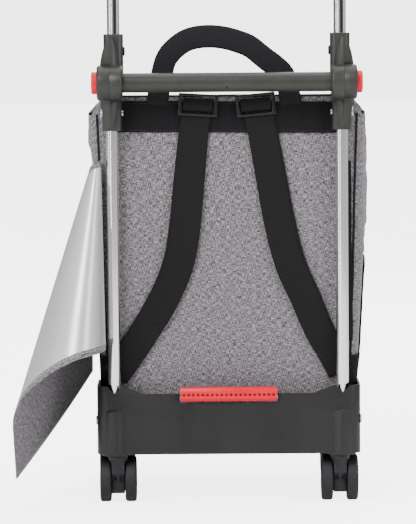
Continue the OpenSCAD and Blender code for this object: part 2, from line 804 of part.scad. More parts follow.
// The lid's crowned shape, drawn in by g all round and lowered by g.
module lid_form(g) {
    y0 = hinge_line_y + 0.5 + g;
    y1 = back_y + bag_top_d + 2 - g;
    hull() {
        translate([0, (y0 + y1) / 2, wall_top_z + 0.5 - (g > 0 ? 2 : 0)]) linear_extrude(slab_t)
            rounded_rect(bag_top_w + 2 - 2 * g, y1 - y0, 14, $fn = 32);
        translate([0, y0 + 22, bag_top_z - slab_t - g]) linear_extrude(slab_t)
            rounded_rect(bag_top_w - 34 - 2 * g, 44, 12, $fn = 32);
        translate([0, y1 - 70, bag_top_z - slab_t - 7 - g]) linear_extrude(slab_t)
            rounded_rect(bag_top_w - 60 - 2 * g, 60, 20, $fn = 32);
    }
}

module bag_lid() {
    color([0.62, 0.6, 0.62])
    difference() {
        lid_form(0);
        lid_form(bag_wall);
    }
}

module side_pocket() {
    color([0.1, 0.1, 0.1])
    intersection() {
        difference() {
            bag_form(3.4, foot_h - 1, foot_h + 122);
            bag_form(foot_t + skin, foot_h - 4, foot_h + 126);
        }
        translate([0, back_y + 38, bag_z + foot_h + 1]) cube([300, 140, 116]);
    }
}

module side_strip() {
    color([0.07, 0.07, 0.07])
    intersection() {
        difference() {
            bag_form(2.2, foot_h, bag_h - 2);
            bag_form(skin, foot_h - 2, bag_h);
        }
        translate([bag_w / 2 - 7, back_y - 5, bag_z + flap_top - flap_h + 2]) cube([6, 22, flap_h - 4]);
    }
}

// A flat zipped pocket on the bag's front, hollow inside.
module pocket_form(g) {
    y1 = back_y + bag_d;
    hull() {
        translate([-110 + g, y1 - 8, bag_z + 52 + g]) cube([220 - 2 * g, 8, 250 - 2 * g]);
        translate([-98 + g, y1 + 16 - g, bag_z + 66 + g]) cube([196 - 2 * g, 6, 215 - 2 * g]);
    }
}

module front_pocket() {
    color([0.6, 0.58, 0.6])
    difference() {
        pocket_form(0);
        pocket_form(bag_wall);
        bag_form(skin, -10, bag_h + 10);
        bag_form(foot_t + skin, -10, foot_h + 0.2);
    }
}

// ---------- what is drawn ----------

casters = [["rear", "left"], ["rear", "right"], ["front", "left"], ["front", "right"]];

base_tray();
lower_tube(-1);  // lower_tube_left
lower_tube(1);  // lower_tube_right
lower_bracket(-1);  // lower_bracket_left
lower_bracket(1);  // lower_bracket_right
frame_screws();
latch_pin();
latch_spring();
latch_lever();
upper_bracket(-1);  // upper_bracket_left
upper_bracket(1);  // upper_bracket_right
upper_tube(-1);  // upper_tube_left
upper_tube(1);  // upper_tube_right
crossbar();
handle_screws();
handle_grip();
grip_sleeve();
button(-1);  // button_left
button(1);  // button_right
lock_gear(-1);  // lock_gear_left
lock_gear(1);  // lock_gear_right
button_spring(-1);  // button_spring_left
button_spring(1);  // button_spring_right
bag_shell();
bag_foot();
base_board();
back_band();
top_handle();
strap(strap_left_path);  // strap_left
strap(strap_right_path);  // strap_right
strap_sliders();
cover_flap();
bag_lid();
side_pocket();
side_strip();
front_pocket();
for (c = casters) {
    name = str(c[0], "_", c[1]);
    fork(stem_place(c));
    stem(stem_place(c));
    axle(stem_place(c));
    wheel(stem_place(c), c[1] == "left" ? -1 : 1);
    wheel(stem_place(c), c[1] == "left" ? 1 : -1);
}
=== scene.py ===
import json
import math
import bpy
from mathutils import Matrix, Vector, noise

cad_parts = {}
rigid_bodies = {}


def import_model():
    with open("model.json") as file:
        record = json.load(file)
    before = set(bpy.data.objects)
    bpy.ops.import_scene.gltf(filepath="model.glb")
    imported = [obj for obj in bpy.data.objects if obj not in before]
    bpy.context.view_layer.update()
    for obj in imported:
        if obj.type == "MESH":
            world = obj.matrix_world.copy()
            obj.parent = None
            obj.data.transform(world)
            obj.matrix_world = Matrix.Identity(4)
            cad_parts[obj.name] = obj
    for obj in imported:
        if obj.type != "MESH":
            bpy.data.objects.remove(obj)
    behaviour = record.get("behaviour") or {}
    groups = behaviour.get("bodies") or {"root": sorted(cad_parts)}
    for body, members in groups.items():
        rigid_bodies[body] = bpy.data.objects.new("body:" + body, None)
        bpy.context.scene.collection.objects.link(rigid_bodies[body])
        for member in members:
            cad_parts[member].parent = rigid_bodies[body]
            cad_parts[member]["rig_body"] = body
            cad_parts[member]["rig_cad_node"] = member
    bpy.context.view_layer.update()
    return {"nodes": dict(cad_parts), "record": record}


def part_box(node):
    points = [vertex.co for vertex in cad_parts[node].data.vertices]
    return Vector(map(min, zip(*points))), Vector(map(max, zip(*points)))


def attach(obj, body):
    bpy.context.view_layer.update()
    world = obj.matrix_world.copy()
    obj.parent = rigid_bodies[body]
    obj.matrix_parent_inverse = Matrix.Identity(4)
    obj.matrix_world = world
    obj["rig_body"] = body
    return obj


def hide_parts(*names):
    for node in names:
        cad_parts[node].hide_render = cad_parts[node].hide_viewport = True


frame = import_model()
record = frame["record"]
bodyOf = {n: b for b, names in record["behaviour"]["bodies"].items() for n in names}
print("frame loaded,", len(frame["nodes"]), "nodes")

mm = 0.001

# places that the pieces share, all from the frame
shellLow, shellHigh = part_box("bag_shell")
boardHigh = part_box("base_board")[1]
lidLow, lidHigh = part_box("bag_lid")
bandLow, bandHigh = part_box("back_band")
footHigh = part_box("bag_foot")[1]
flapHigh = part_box("cover_flap")[1]
netLow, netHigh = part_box("side_pocket")
bag = {
    "back": shellLow.y,
    "bottom": shellLow.z,
    "rim": lidLow.z - 0.5 * mm,            # where the side walls end under the lid
    "halfFoot": boardHigh.x + 5 * mm,      # half width at the bottom
    "halfTop": shellHigh.x,
    "depthFoot": 210 * mm,
    "depthTop": shellHigh.y - shellLow.y,
    "corner": 22 * mm,
    "footTop": footHigh.z,
    "lidEdge": 26 * mm,                    # the lid's corner radius, and how wide its border turns down
}


# small tools
def select(*objs):
    if bpy.context.object and bpy.context.object.mode != "OBJECT":
        bpy.ops.object.mode_set(mode="OBJECT")
    bpy.ops.object.select_all(action="DESELECT")
    for o in objs:
        o.select_set(True)
    if objs:
        bpy.context.view_layer.objects.active = objs[0]


def named(name):
    o = bpy.context.object
    o.name = name
    o.data.name = name
    return o


def applyAll(o):
    select(o)
    for m in list(o.modifiers):
        bpy.ops.object.modifier_apply(modifier=m.name)


def smooth(o, degrees=35):
    select(o)
    bpy.ops.object.shade_smooth_by_angle(angle=math.radians(degrees))
    return o


def settle(o):
    # the finished object sits at the origin, unturned, with its place in its mesh
    select(o)
    bpy.ops.object.transform_apply(location=True, rotation=True, scale=True)
    return o


def outward(o, weld=True):
    select(o)
    bpy.ops.object.mode_set(mode="EDIT")
    bpy.ops.mesh.select_all(action="SELECT")
    if weld:
        bpy.ops.mesh.remove_doubles(threshold=0.02 * mm)
    bpy.ops.mesh.normals_make_consistent(inside=False)
    bpy.ops.object.mode_set(mode="OBJECT")
    return o


def joined(name, objs):
    select(*objs)
    if len(objs) > 1:
        bpy.ops.object.join()
    return named(name)


def dress(o, body, slot, material, replaces=()):
    if material is not None:
        o.data.materials.clear()
        o.data.materials.append(material)
    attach(o, body)
    if replaces:
        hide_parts(*replaces)
    return o


def mix(a, b, t):
    return a + (b - a) * t


def ease(t):
    t = min(1, max(0, t))
    return t * t * (3 - 2 * t)


def curveThrough(points, step):
    # even points along a smooth curve through the given ones
    pts = [Vector(p) for p in points]
    fine = []
    for i in range(len(pts) - 1):
        a, b, c, d = pts[max(i - 1, 0)], pts[i], pts[i + 1], pts[min(i + 2, len(pts) - 1)]
        for k in range(16):
            t = k / 16
            fine.append(0.5 * (2 * b + (c - a) * t + (2 * a - 5 * b + 4 * c - d) * t * t
                               + (3 * b - a - 3 * c + d) * t ** 3))
    fine.append(pts[-1])
    lengths = [0]
    for i in range(1, len(fine)):
        lengths.append(lengths[-1] + (fine[i] - fine[i - 1]).length)
    count = max(2, round(lengths[-1] / step))
    even, j = [], 0
    for i in range(count + 1):
        want = lengths[-1] * i / count
        while j < len(lengths) - 2 and lengths[j + 1] < want:
            j += 1
        span = max(1e-9, lengths[j + 1] - lengths[j])
        even.append(fine[j].lerp(fine[j + 1], (want - lengths[j]) / span))
    return even, lengths[-1]


def sheetOf(name, columns, rows, place, size):
    # a grid laid on place(u, v), with its UV map in metres
    select()
    bpy.ops.mesh.primitive_grid_add(x_subdivisions=columns, y_subdivisions=rows, size=1, calc_uvs=True)
    o = named(name)
    for v in o.data.vertices:
        v.co = place(v.co.x + 0.5, v.co.y + 0.5)
    for d in o.data.uv_layers[0].data:
        d.uv = (d.uv[0] * size[0], d.uv[1] * size[1])
    return o


def thicken(o, thickness, offset=0.0, innerMaterial=0):
    m = o.modifiers.new("Wall", "SOLIDIFY")
    m.thickness = thickness
    m.offset = offset
    m.material_offset = innerMaterial
    applyAll(o)
    return o


def bevelled(o, width, segments, degrees=30):
    m = o.modifiers.new("Edge", "BEVEL")
    m.width = width
    m.segments = segments
    m.limit_method = "ANGLE"
    m.angle_limit = math.radians(degrees)
    applyAll(o)
    return o


def webbing(name, points, width, thickness, facing=(0, -1, 0), across=None, step=5 * mm, lift=None):
    # a woven tape along points; its flat side looks along facing, or its width runs along across
    line, length = curveThrough(points, step)
    n = len(line) - 1
    sides = []
    for i in range(n + 1):
        run = (line[min(i + 1, n)] - line[max(i - 1, 0)]).normalized()
        sides.append(Vector(across) if across else run.cross(Vector(facing)).normalized())
    rows = 8

    def place(u, v):
        i = round(u * n)
        up = Vector(facing) * (lift(u, v) if lift else 0)
        return line[i] + sides[i] * (v - 0.5) * width + up

    o = sheetOf(name, n, rows, place, (length, width))
    thicken(o, thickness)
    bevelled(o, thickness * 0.35, 2, 50)
    return smooth(outward(o), 50)


def cordTube(name, points, radius, step=4 * mm, sides=8):
    # a round piping along points
    line, length = curveThrough(points, step)
    n = len(line) - 1

    def place(u, v):
        i = round(u * n)
        run = (line[min(i + 1, n)] - line[max(i - 1, 0)]).normalized()
        helper = Vector((0, 0, 1)) if abs(run.z) < 0.9 else Vector((0, 1, 0))
        a = run.cross(helper).normalized()
        b = run.cross(a)
        turn = 2 * math.pi * v
        return line[i] + (a * math.cos(turn) + b * math.sin(turn)) * radius

    o = sheetOf(name, n, sides, place, (length, 2 * math.pi * radius))
    select(o)
    bpy.ops.object.mode_set(mode="EDIT")
    bpy.ops.mesh.select_all(action="SELECT")
    bpy.ops.mesh.remove_doubles(threshold=0.02 * mm)
    bpy.ops.mesh.select_all(action="DESELECT")
    bpy.ops.mesh.select_mode(type="EDGE")
    bpy.ops.mesh.select_non_manifold()
    bpy.ops.mesh.fill_holes(sides=0)
    bpy.ops.mesh.select_mode(type="VERT")
    bpy.ops.object.mode_set(mode="OBJECT")
    return smooth(outward(o), 60)


def stitches(name, points, normalOf, pitch=4 * mm, length=2.8 * mm, radius=0.45 * mm):
    # a run of short sewn threads: one is modelled, the rest are copies with their own mesh
    line = curveThrough(points, pitch)[0]
    select()
    bpy.ops.mesh.primitive_uv_sphere_add(segments=6, ring_count=4, radius=1)
    one = named(name + "One")
    one.scale = (length / 2, radius, radius)
    settle(one)
    base = [v.co.copy() for v in one.data.vertices]
    faces = [list(p.vertices) for p in one.data.polygons]
    verts, polys = [], []
    for i in range(len(line) - 1):
        mid = (line[i] + line[i + 1]) / 2
        run = (line[i + 1] - line[i]).normalized()
        up = normalOf(mid)
        side = up.cross(run).normalized()
        start = len(verts)
        verts += [mid + run * c.x + side * c.y + up * c.z for c in base]
        polys += [[start + k for k in f] for f in faces]
    mesh = bpy.data.meshes.new(name)
    mesh.from_pydata(verts, [], polys)
    one.data = mesh
    one.name = name
    return smooth(one, 60)


def roundedCopy(node, width, segments=2, angle=32):
    # the CAD part again with its edges broken, as moulded parts have them
    source = frame["nodes"][node]
    select(source)
    bpy.ops.object.duplicate()
    o = bpy.context.object
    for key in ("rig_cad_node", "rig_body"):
        if key in o:
            del o[key]
    o.parent = None
    o.name = node + "_soft_edged"
    select(o)
    bpy.ops.object.mode_set(mode="EDIT")
    bpy.ops.mesh.select_all(action="SELECT")
    bpy.ops.mesh.customdata_custom_splitnormals_clear()
    bpy.ops.mesh.remove_doubles(threshold=0.004 * mm)
    bpy.ops.mesh.dissolve_limited(angle_limit=math.radians(0.6))
    bpy.ops.object.mode_set(mode="OBJECT")
    bevelled(o, width, segments, angle)
    return smooth(o, angle + 8)


# materials
def blank(name):
    m = bpy.data.materials.new(name)
    m.use_nodes = True
    return m, m.node_tree.nodes, m.node_tree.links, m.node_tree.nodes["Principled BSDF"]


def node(nodes, kind, **values):
    n = nodes.new("ShaderNode" + kind)
    for key, value in values.items():
        if key in n.inputs.keys():
            n.inputs[key].default_value = value
        else:
            setattr(n, key, value)
    return n


def stretched(nodes, links, source, scale):
    coord = node(nodes, "TexCoord")
    place = node(nodes, "Mapping")
    place.inputs["Scale"].default_value = scale
    links.new(coord.outputs[source], place.inputs["Vector"])
    return place.outputs["Vector"]


def texture(nodes, links, kind, source, scale, **values):
    t = node(nodes, "Tex" + kind, Scale=1.0, **values)
    links.new(stretched(nodes, links, source, scale), t.inputs["Vector"])
    return t


def glossBetween(nodes, links, bsdf, source, low, high):
    gloss = node(nodes, "MapRange")
    gloss.inputs["To Min"].default_value = low
    gloss.inputs["To Max"].default_value = high
    links.new(source, gloss.inputs["Value"])
    links.new(gloss.outputs["Result"], bsdf.inputs["Roughness"])


def ramp(nodes, links, source, stops):
    r = node(nodes, "ValToRGB")
    while len(r.color_ramp.elements) < len(stops):
        r.color_ramp.elements.new(0.5)
    for e, (at, colour) in zip(r.color_ramp.elements, stops):
        e.position = at
        e.color = (*colour, 1)
    links.new(source, r.inputs["Fac"])
    return r.outputs["Color"]


def reckoned(nodes, links, operation, source, value):
    n = node(nodes, "Math", operation=operation)
    links.new(source, n.inputs[0])
    n.inputs[1].default_value = value
    return n


def bumped(nodes, links, bsdf, height, strength, distance):
    b = node(nodes, "Bump", Strength=strength, Distance=distance)
    links.new(height, b.inputs["Height"])
    links.new(b.outputs["Normal"], bsdf.inputs["Normal"])


def blended(nodes, links, a, b, factor, mode="MIX"):
    n = node(nodes, "Mix", data_type="RGBA", blend_type=mode)
    n.inputs[0].default_value = factor
    links.new(a, n.inputs[6])
    links.new(b, n.inputs[7])
    return n.outputs[2]


def mouldedPlastic(name, colour, rough=0.46, grain=0.9 * mm, streak=0.35, scuff=1.28, bump=0.12,
                   shine=0.35):
    m, nodes, links, bsdf = blank(name)
    fine = texture(nodes, links, "Noise", "Object", (1 / grain,) * 3, Detail=3.0)
    cloud = texture(nodes, links, "Noise", "Object", (26, 26, 26 * streak), Detail=5.0, Roughness=0.62)
    bsdf.inputs["Specular IOR Level"].default_value = shine
    low = tuple(c * 0.86 for c in colour)
    high = tuple(c * scuff for c in colour)
    shade = ramp(nodes, links, cloud.outputs["Fac"], [(0.32, low), (0.7, high)])
    links.new(shade, bsdf.inputs["Base Color"])
    glossBetween(nodes, links, bsdf, cloud.outputs["Fac"], rough - 0.07, rough + 0.09)
    bumped(nodes, links, bsdf, fine.outputs["Fac"], bump, 0.2 * mm)
    return m


def drawnMetal(name, colour, rough, along=(900, 900, 6), bump=0.06):
    # fine lines that run along the tube
    m, nodes, links, bsdf = blank(name)
    lines = texture(nodes, links, "Noise", "Object", along, Detail=4.0)
    shade = ramp(nodes, links, lines.outputs["Fac"],
                 [(0.3, tuple(c * 0.93 for c in colour)), (0.7, colour)])
    links.new(shade, bsdf.inputs["Base Color"])
    glossBetween(nodes, links, bsdf, lines.outputs["Fac"], rough * 0.75, rough * 1.3)
    bsdf.inputs["Metallic"].default_value = 1.0
    bumped(nodes, links, bsdf, lines.outputs["Fac"], bump, 0.05 * mm)
    return m


def melangeCloth(name, dark, mid, light, thread=0.58 * mm):
    # slubby threads both ways over each other, each thread its own grey
    m, nodes, links, bsdf = blank(name)
    warp = texture(nodes, links, "Noise", "UV", (1 / thread, 0.09 / thread, 1), Detail=2.0, Roughness=0.6)
    weft = texture(nodes, links, "Noise", "UV", (0.085 / thread, 1 / thread, 1), Detail=2.0, Roughness=0.6)
    both = blended(nodes, links, warp.outputs["Fac"], weft.outputs["Fac"], 0.5)
    heather = ramp(nodes, links, both, [(0.41, dark), (0.5, mid), (0.59, light)])
    flecks = texture(nodes, links, "Noise", "UV", (0.8 / thread, 0.8 / thread, 1), Detail=1.0)
    purple = ramp(nodes, links, flecks.outputs["Fac"], [(0.4, (0.5, 0.5, 0.5)), (0.62, (0.53, 0.47, 0.52))])
    colour = blended(nodes, links, heather, purple, 0.5, "OVERLAY")
    links.new(colour, bsdf.inputs["Base Color"])
    weaveA = texture(nodes, links, "Wave", "UV", (0.32 / thread, 0.32 / thread, 1),
                     bands_direction="X", wave_profile="SIN")
    weaveB = texture(nodes, links, "Wave", "UV", (0.32 / thread, 0.32 / thread, 1),
                     bands_direction="Y", wave_profile="SIN")
    weave = blended(nodes, links, weaveA.outputs["Fac"], weaveB.outputs["Fac"], 0.5)
    bumped(nodes, links, bsdf, blended(nodes, links, weave, both, 0.6), 0.5, 0.4 * mm)
    bsdf.inputs["Roughness"].default_value = 0.9
    bsdf.inputs["Sheen Weight"].default_value = 0.25
    bsdf.inputs["Sheen Roughness"].default_value = 0.5
    bsdf.inputs["Specular IOR Level"].default_value = 0.25
    return m


def ribbedWebbing(name, colour, highlight, rib=2.6 * mm, width=40 * mm, slant=0.5):
    # ribs across the tape in a herringbone that turns at its middle
    m, nodes, links, bsdf = blank(name)
    coord = node(nodes, "TexCoord")
    split = node(nodes, "SeparateXYZ")
    links.new(coord.outputs["UV"], split.inputs[0])
    centred = reckoned(nodes, links, "SUBTRACT", split.outputs["Y"], width / 2)
    folded = node(nodes, "Math", operation="ABSOLUTE")
    links.new(centred.outputs[0], folded.inputs[0])
    leaning = reckoned(nodes, links, "MULTIPLY_ADD", folded.outputs[0], slant)
    links.new(split.outputs["X"], leaning.inputs[2])
    phase = reckoned(nodes, links, "MULTIPLY", leaning.outputs[0], 2 * math.pi / rib)
    wave = node(nodes, "Math", operation="SINE")
    links.new(phase.outputs[0], wave.inputs[0])
    unit = node(nodes, "MapRange")
    unit.inputs["From Min"].default_value = -1.0
    links.new(wave.outputs[0], unit.inputs["Value"])
    fuzz = texture(nodes, links, "Noise", "UV", (900, 500, 1), Detail=3.0)
    shade = blended(nodes, links, unit.outputs["Result"], fuzz.outputs["Fac"], 0.4)
    links.new(ramp(nodes, links, shade, [(0.25, colour), (0.9, highlight)]), bsdf.inputs["Base Color"])
    bumped(nodes, links, bsdf, shade, 0.7, 0.5 * mm)
    bsdf.inputs["Roughness"].default_value = 0.66
    bsdf.inputs["Specular IOR Level"].default_value = 0.14
    return m


def plainWeave(name, colour, highlight, thread=0.8 * mm, rough=0.8, source="UV"):
    m, nodes, links, bsdf = blank(name)
    scale = (0.32 / thread,) * 3
    waveA = texture(nodes, links, "Wave", source, scale,
                    bands_direction="X", wave_profile="SIN", Distortion=0.6)
    waveB = texture(nodes, links, "Wave", source, scale,
                    bands_direction="Y", wave_profile="SIN", Distortion=0.6)
    both = blended(nodes, links, waveA.outputs["Fac"], waveB.outputs["Fac"], 0.5)
    cloud = texture(nodes, links, "Noise", source, (60, 60, 60), Detail=4.0)
    shade = blended(nodes, links, both, cloud.outputs["Fac"], 0.45)
    links.new(ramp(nodes, links, shade, [(0.25, colour), (0.85, highlight)]), bsdf.inputs["Base Color"])
    bumped(nodes, links, bsdf, both, 0.35, 0.25 * mm)
    bsdf.inputs["Roughness"].default_value = rough
    bsdf.inputs["Specular IOR Level"].default_value = 0.15
    return m


def satinLining(name, colour, ringShade=0.94):
    # coated silver lining with faint rings printed on it
    m, nodes, links, bsdf = blank(name)
    cells = texture(nodes, links, "Voronoi", "UV", (26, 26, 1), feature="F1", Randomness=0.55)
    rings = ramp(nodes, links, cells.outputs["Distance"],
                 [(0.2, (1, 1, 1)), (0.235, (ringShade,) * 3), (0.27, (ringShade,) * 3), (0.31, (1, 1, 1))])
    cloud = texture(nodes, links, "Noise", "UV", (12, 5, 1), Detail=4.0)
    base = ramp(nodes, links, cloud.outputs["Fac"],
                [(0.3, tuple(c * 0.92 for c in colour)), (0.75, colour)])
    links.new(blended(nodes, links, base, rings, 1.0, "MULTIPLY"), bsdf.inputs["Base Color"])
    fine = texture(nodes, links, "Noise", "UV", (1400, 1400, 1), Detail=2.0)
    bumped(nodes, links, bsdf, fine.outputs["Fac"], 0.08, 0.1 * mm)
    bsdf.inputs["Metallic"].default_value = 0.35
    bsdf.inputs["Roughness"].default_value = 0.34
    bsdf.inputs["Coat Weight"].default_value = 0.3
    bsdf.inputs["Coat Roughness"].default_value = 0.25
    return m


trayPlastic = mouldedPlastic("trayPlastic", (0.011, 0.011, 0.0105), rough=0.42)
knucklePlastic = mouldedPlastic("knucklePlastic", (0.024, 0.024, 0.021), rough=0.4, streak=1.0)
casterPlastic = mouldedPlastic("casterPlastic", (0.01, 0.01, 0.0125), rough=0.45, streak=1.0)
wheelTread = mouldedPlastic("wheelTread", (0.011, 0.011, 0.013), rough=0.6, grain=0.7 * mm, bump=0.4)
coralPlastic = mouldedPlastic("coralPlastic", (0.76, 0.006, 0.026), rough=0.33, streak=1.0, scuff=1.04,
                              shine=0.22)
sliderPlastic = mouldedPlastic("sliderPlastic", (0.008, 0.008, 0.009), rough=0.26, streak=1.0)
gripFoam = mouldedPlastic("gripFoam", (0.014, 0.014, 0.014), rough=0.85, grain=1.4 * mm, bump=0.5)
boardPlastic = mouldedPlastic("boardPlastic", (0.02, 0.02, 0.02), rough=0.6)
tubeAluminium = drawnMetal("tubeAluminium", (0.86, 0.86, 0.85), 0.08, bump=0.02)
zincSteel = drawnMetal("zincSteel", (0.6, 0.6, 0.61), 0.3, along=(300, 300, 300))
blackSteel = drawnMetal("blackSteel", (0.03, 0.03, 0.03), 0.4, along=(300, 300, 300))
melange = melangeCloth("melange", (0.022, 0.02, 0.023), (0.105, 0.098, 0.106), (0.42, 0.4, 0.42))
strapWeb = ribbedWebbing("strapWeb", (0.002, 0.002, 0.002), (0.014, 0.014, 0.014))
bandWeb = ribbedWebbing("bandWeb", (0.002, 0.002, 0.0025), (0.01, 0.01, 0.012), rib=1.9 * mm, slant=0.0)
loopWeb = ribbedWebbing("loopWeb", (0.003, 0.003, 0.0035), (0.02, 0.02, 0.023), rib=2.0 * mm, width=28 * mm)
footCloth = plainWeave("footCloth", (0.003, 0.003, 0.0035), (0.009, 0.009, 0.01))
pipingCloth = plainWeave("pipingCloth", (0.008, 0.008, 0.009), (0.025, 0.025, 0.028))
insideCloth = plainWeave("insideCloth", (0.3, 0.3, 0.31), (0.42, 0.42, 0.43), thread=0.6 * mm, rough=0.6)
netThread = plainWeave("netThread", (0.01, 0.01, 0.011), (0.04, 0.04, 0.045), source="Object")
zipTape = plainWeave("zipTape", (0.01, 0.01, 0.011), (0.028, 0.028, 0.03), thread=0.7 * mm)
lining = satinLining("lining", (0.6, 0.58, 0.59))
threadGrey = plainWeave("threadGrey", (0.45, 0.44, 0.45), (0.75, 0.74, 0.75), source="Object")
threadBlack = plainWeave("threadBlack", (0.02, 0.02, 0.022), (0.06, 0.06, 0.065), source="Object")
print("materials made")

# hard parts: the CAD nodes keep their shape
hardFinish = {
    "base_tray": trayPlastic, "lower_tube": tubeAluminium, "upper_tube": tubeAluminium,
    "lower_bracket": knucklePlastic, "upper_bracket": knucklePlastic, "crossbar": knucklePlastic,
    "frame_screws": zincSteel, "handle_screws": blackSteel, "handle_grip": knucklePlastic,
    "grip_sleeve": gripFoam, "button_spring": zincSteel, "button": coralPlastic,
    "lock_gear": zincSteel, "latch_pin": zincSteel, "latch_spring": zincSteel,
    "latch_lever": coralPlastic, "fork": casterPlastic, "stem": zincSteel, "axle": zincSteel,
    "wheel": wheelTread, "base_board": boardPlastic,
}
for name, o in frame["nodes"].items():
    keys = [k for k in hardFinish if name.startswith(k)]
    if keys:
        o.data.materials.clear()
        o.data.materials.append(hardFinish[max(keys, key=len)])

softEdges = {
    "base_tray": 0.7 * mm, "lower_bracket_left": 0.8 * mm, "lower_bracket_right": 0.8 * mm,
    "upper_bracket_left": 0.8 * mm, "upper_bracket_right": 0.8 * mm, "latch_lever": 0.6 * mm,
    "fork_rear_left": 0.7 * mm, "fork_rear_right": 0.7 * mm,
    "fork_front_left": 0.7 * mm, "fork_front_right": 0.7 * mm,
}
slotOf = {s["node"]: s["material_slot"] for s in record["subparts"]}
for name, width in softEdges.items():
    o = roundedCopy(name, width)
    dress(o, bodyOf[name], slotOf[name], None, (name,))
print("hard parts finished")


# the bag's form
def ring(s, halfWidth, halfDepth, corner):
    # place and outward direction on a rounded rectangle, once round from the middle of its front
    straightX, straightY = halfWidth - corner, halfDepth - corner
    arc = math.pi * corner / 2
    runs = [straightX, arc, 2 * straightY, arc, 2 * straightX, arc, 2 * straightY, arc, straightX]
    d = s * sum(runs)
    centres = [(straightX, straightY), (straightX, -straightY),
               (-straightX, -straightY), (-straightX, straightY)]
    starts = [90, 0, -90, -180]
    for i, run in enumerate(runs):
        if d <= run or i == len(runs) - 1:
            if i % 2:
                cx, cy = centres[i // 2]
                a = math.radians(starts[i // 2]) - d / corner
                n = Vector((math.cos(a), math.sin(a), 0))
                return Vector((cx, cy, 0)) + n * corner, n
            side = i // 2 % 4
            if side == 0:
                x = d if i == 0 else -straightX + d
                return Vector((x, halfDepth, 0)), Vector((0, 1, 0))
            if side == 1:
                return Vector((halfWidth, straightY - d, 0)), Vector((1, 0, 0))
            if side == 2:
                return Vector((straightX - d, -halfDepth, 0)), Vector((0, -1, 0))
            return Vector((-halfWidth, -straightY + d, 0)), Vector((-1, 0, 0))
        d -= run


def bagPoint(s, z, out=0.0, soft=1.0):
    # the bag's outer surface at height z, with its sag and soft creases
    h = (z - bag["bottom"]) / (bag["rim"] - bag["bottom"])
    halfW = mix(bag["halfFoot"], bag["halfTop"], h)
    depth = mix(bag["depthFoot"], bag["depthTop"], h)
    p, n = ring(s, halfW, depth / 2, bag["corner"])
    p.y += bag["back"] + depth / 2
    p.z = z
    rearward = max(0, -n.y)
    swell = ease(h / 0.3) * (0.35 + 0.65 * math.sin(math.pi * min(1, max(0, h))))
    bulge = (5.5 * mm * abs(n.x) ** 2 + 6 * mm * max(0, n.y) ** 2) * swell
    crease = noise.noise(Vector((p.x * 9, p.y * 9, z * 13)))
    crease += 0.5 * noise.noise(Vector((p.x * 24, p.y * 24, z * 34)))
    depthOfCrease = mix(1.6, 1.1, rearward) * mm * ease(h / 0.2)
    if n.x < -0.2:
        # the open flap lies against this side, which stays flat under it
        free = ease((z - flapHigh.z) / (25 * mm))
        bulge *= free
        depthOfCrease *= mix(0.3, 1, free)
    dip = -1.2 * mm * rearward * math.sin(math.pi * h)
    return p + n * (out + soft * (bulge + crease * depthOfCrease + dip - 0.9 * mm * rearward))


def shoulder(x):
    # how far the lid's rounded shoulder has dropped at x, from 0 on top to 1 at its rim
    return (1 - min(1, max(0, (lidHigh.x - abs(x)) / bag["lidEdge"]))) ** 2.2


def roundedSquare(a, b, halfA, halfB, corner):
    # a point of a rectangle moved inside its rounded corners, and how far it stands from the edge
    da, db = abs(a) - (halfA - corner), abs(b) - (halfB - corner)
    if da <= 0 or db <= 0:
        return a, b, min(halfA - abs(a), halfB - abs(b))
    reach, d = max(da, db), math.hypot(da, db)
    a = math.copysign(halfA - corner + da * reach / d, a)
    b = math.copysign(halfB - corner + db * reach / d, b)
    return a, b, corner - reach


# bag body
bodySet = {"columns": 150, "rows": 64, "wall": 2.6 * mm, "bottomRows": 6}


def bodyPlace(u, v):
    rows = bodySet["rows"]
    r = v * rows
    if r < bodySet["bottomRows"]:
        t = ease(r / bodySet["bottomRows"]) ** 0.5
        p, n = ring(u, bag["halfFoot"], bag["depthFoot"] / 2, bag["corner"])
        p *= t
        p.y += bag["back"] + bag["depthFoot"] / 2
        p.z = bag["bottom"] + 0.4 * mm
        return p
    t = (r - bodySet["bottomRows"]) / (rows - bodySet["bottomRows"])
    p = bagPoint(u, mix(bag["bottom"] + 3 * mm, bag["rim"], t))
    # the rear panel goes on up behind the lid
    n = bagPoint(u, bag["rim"], 10 * mm) - bagPoint(u, bag["rim"])
    rearward = ease((-n.y / (10 * mm) - 0.55) / 0.4)
    rise = (lidHigh.z + 1 * mm - bag["rim"]) * rearward * (1 - shoulder(p.x))
    p.z += rise * ease((t - 0.6) / 0.4)
    return p


def swell(o, pinned, pressure, cap, frames=16):
    # cloth under light air pressure, held at its pinned seams, and never moved further than cap
    rest = [v.co.copy() for v in o.data.vertices]
    held = o.vertex_groups.new(name="held")
    for v in o.data.vertices:
        held.add([v.index], pinned(v.co), "REPLACE")
    m = o.modifiers.new("Cloth", "CLOTH")
    s = m.settings
    s.quality = 5
    s.mass = 0.25
    s.tension_stiffness = s.compression_stiffness = 12
    s.shear_stiffness = 4
    s.bending_stiffness = 0.6
    s.use_pressure = True
    s.uniform_pressure_force = pressure
    s.shrink_min = -0.03
    s.vertex_group_mass = "held"
    s.effector_weights.gravity = 0
    m.collision_settings.use_collision = False
    m.point_cache.frame_start = 1
    m.point_cache.frame_end = frames
    for f in range(1, frames + 1):
        bpy.context.scene.frame_set(f)
    applyAll(o)
    bpy.context.scene.frame_set(1)
    for v, was in zip(o.data.vertices, rest):
        move = v.co - was
        if move.length > cap:
            move *= cap / move.length
        v.co = was + move
    o.vertex_groups.clear()


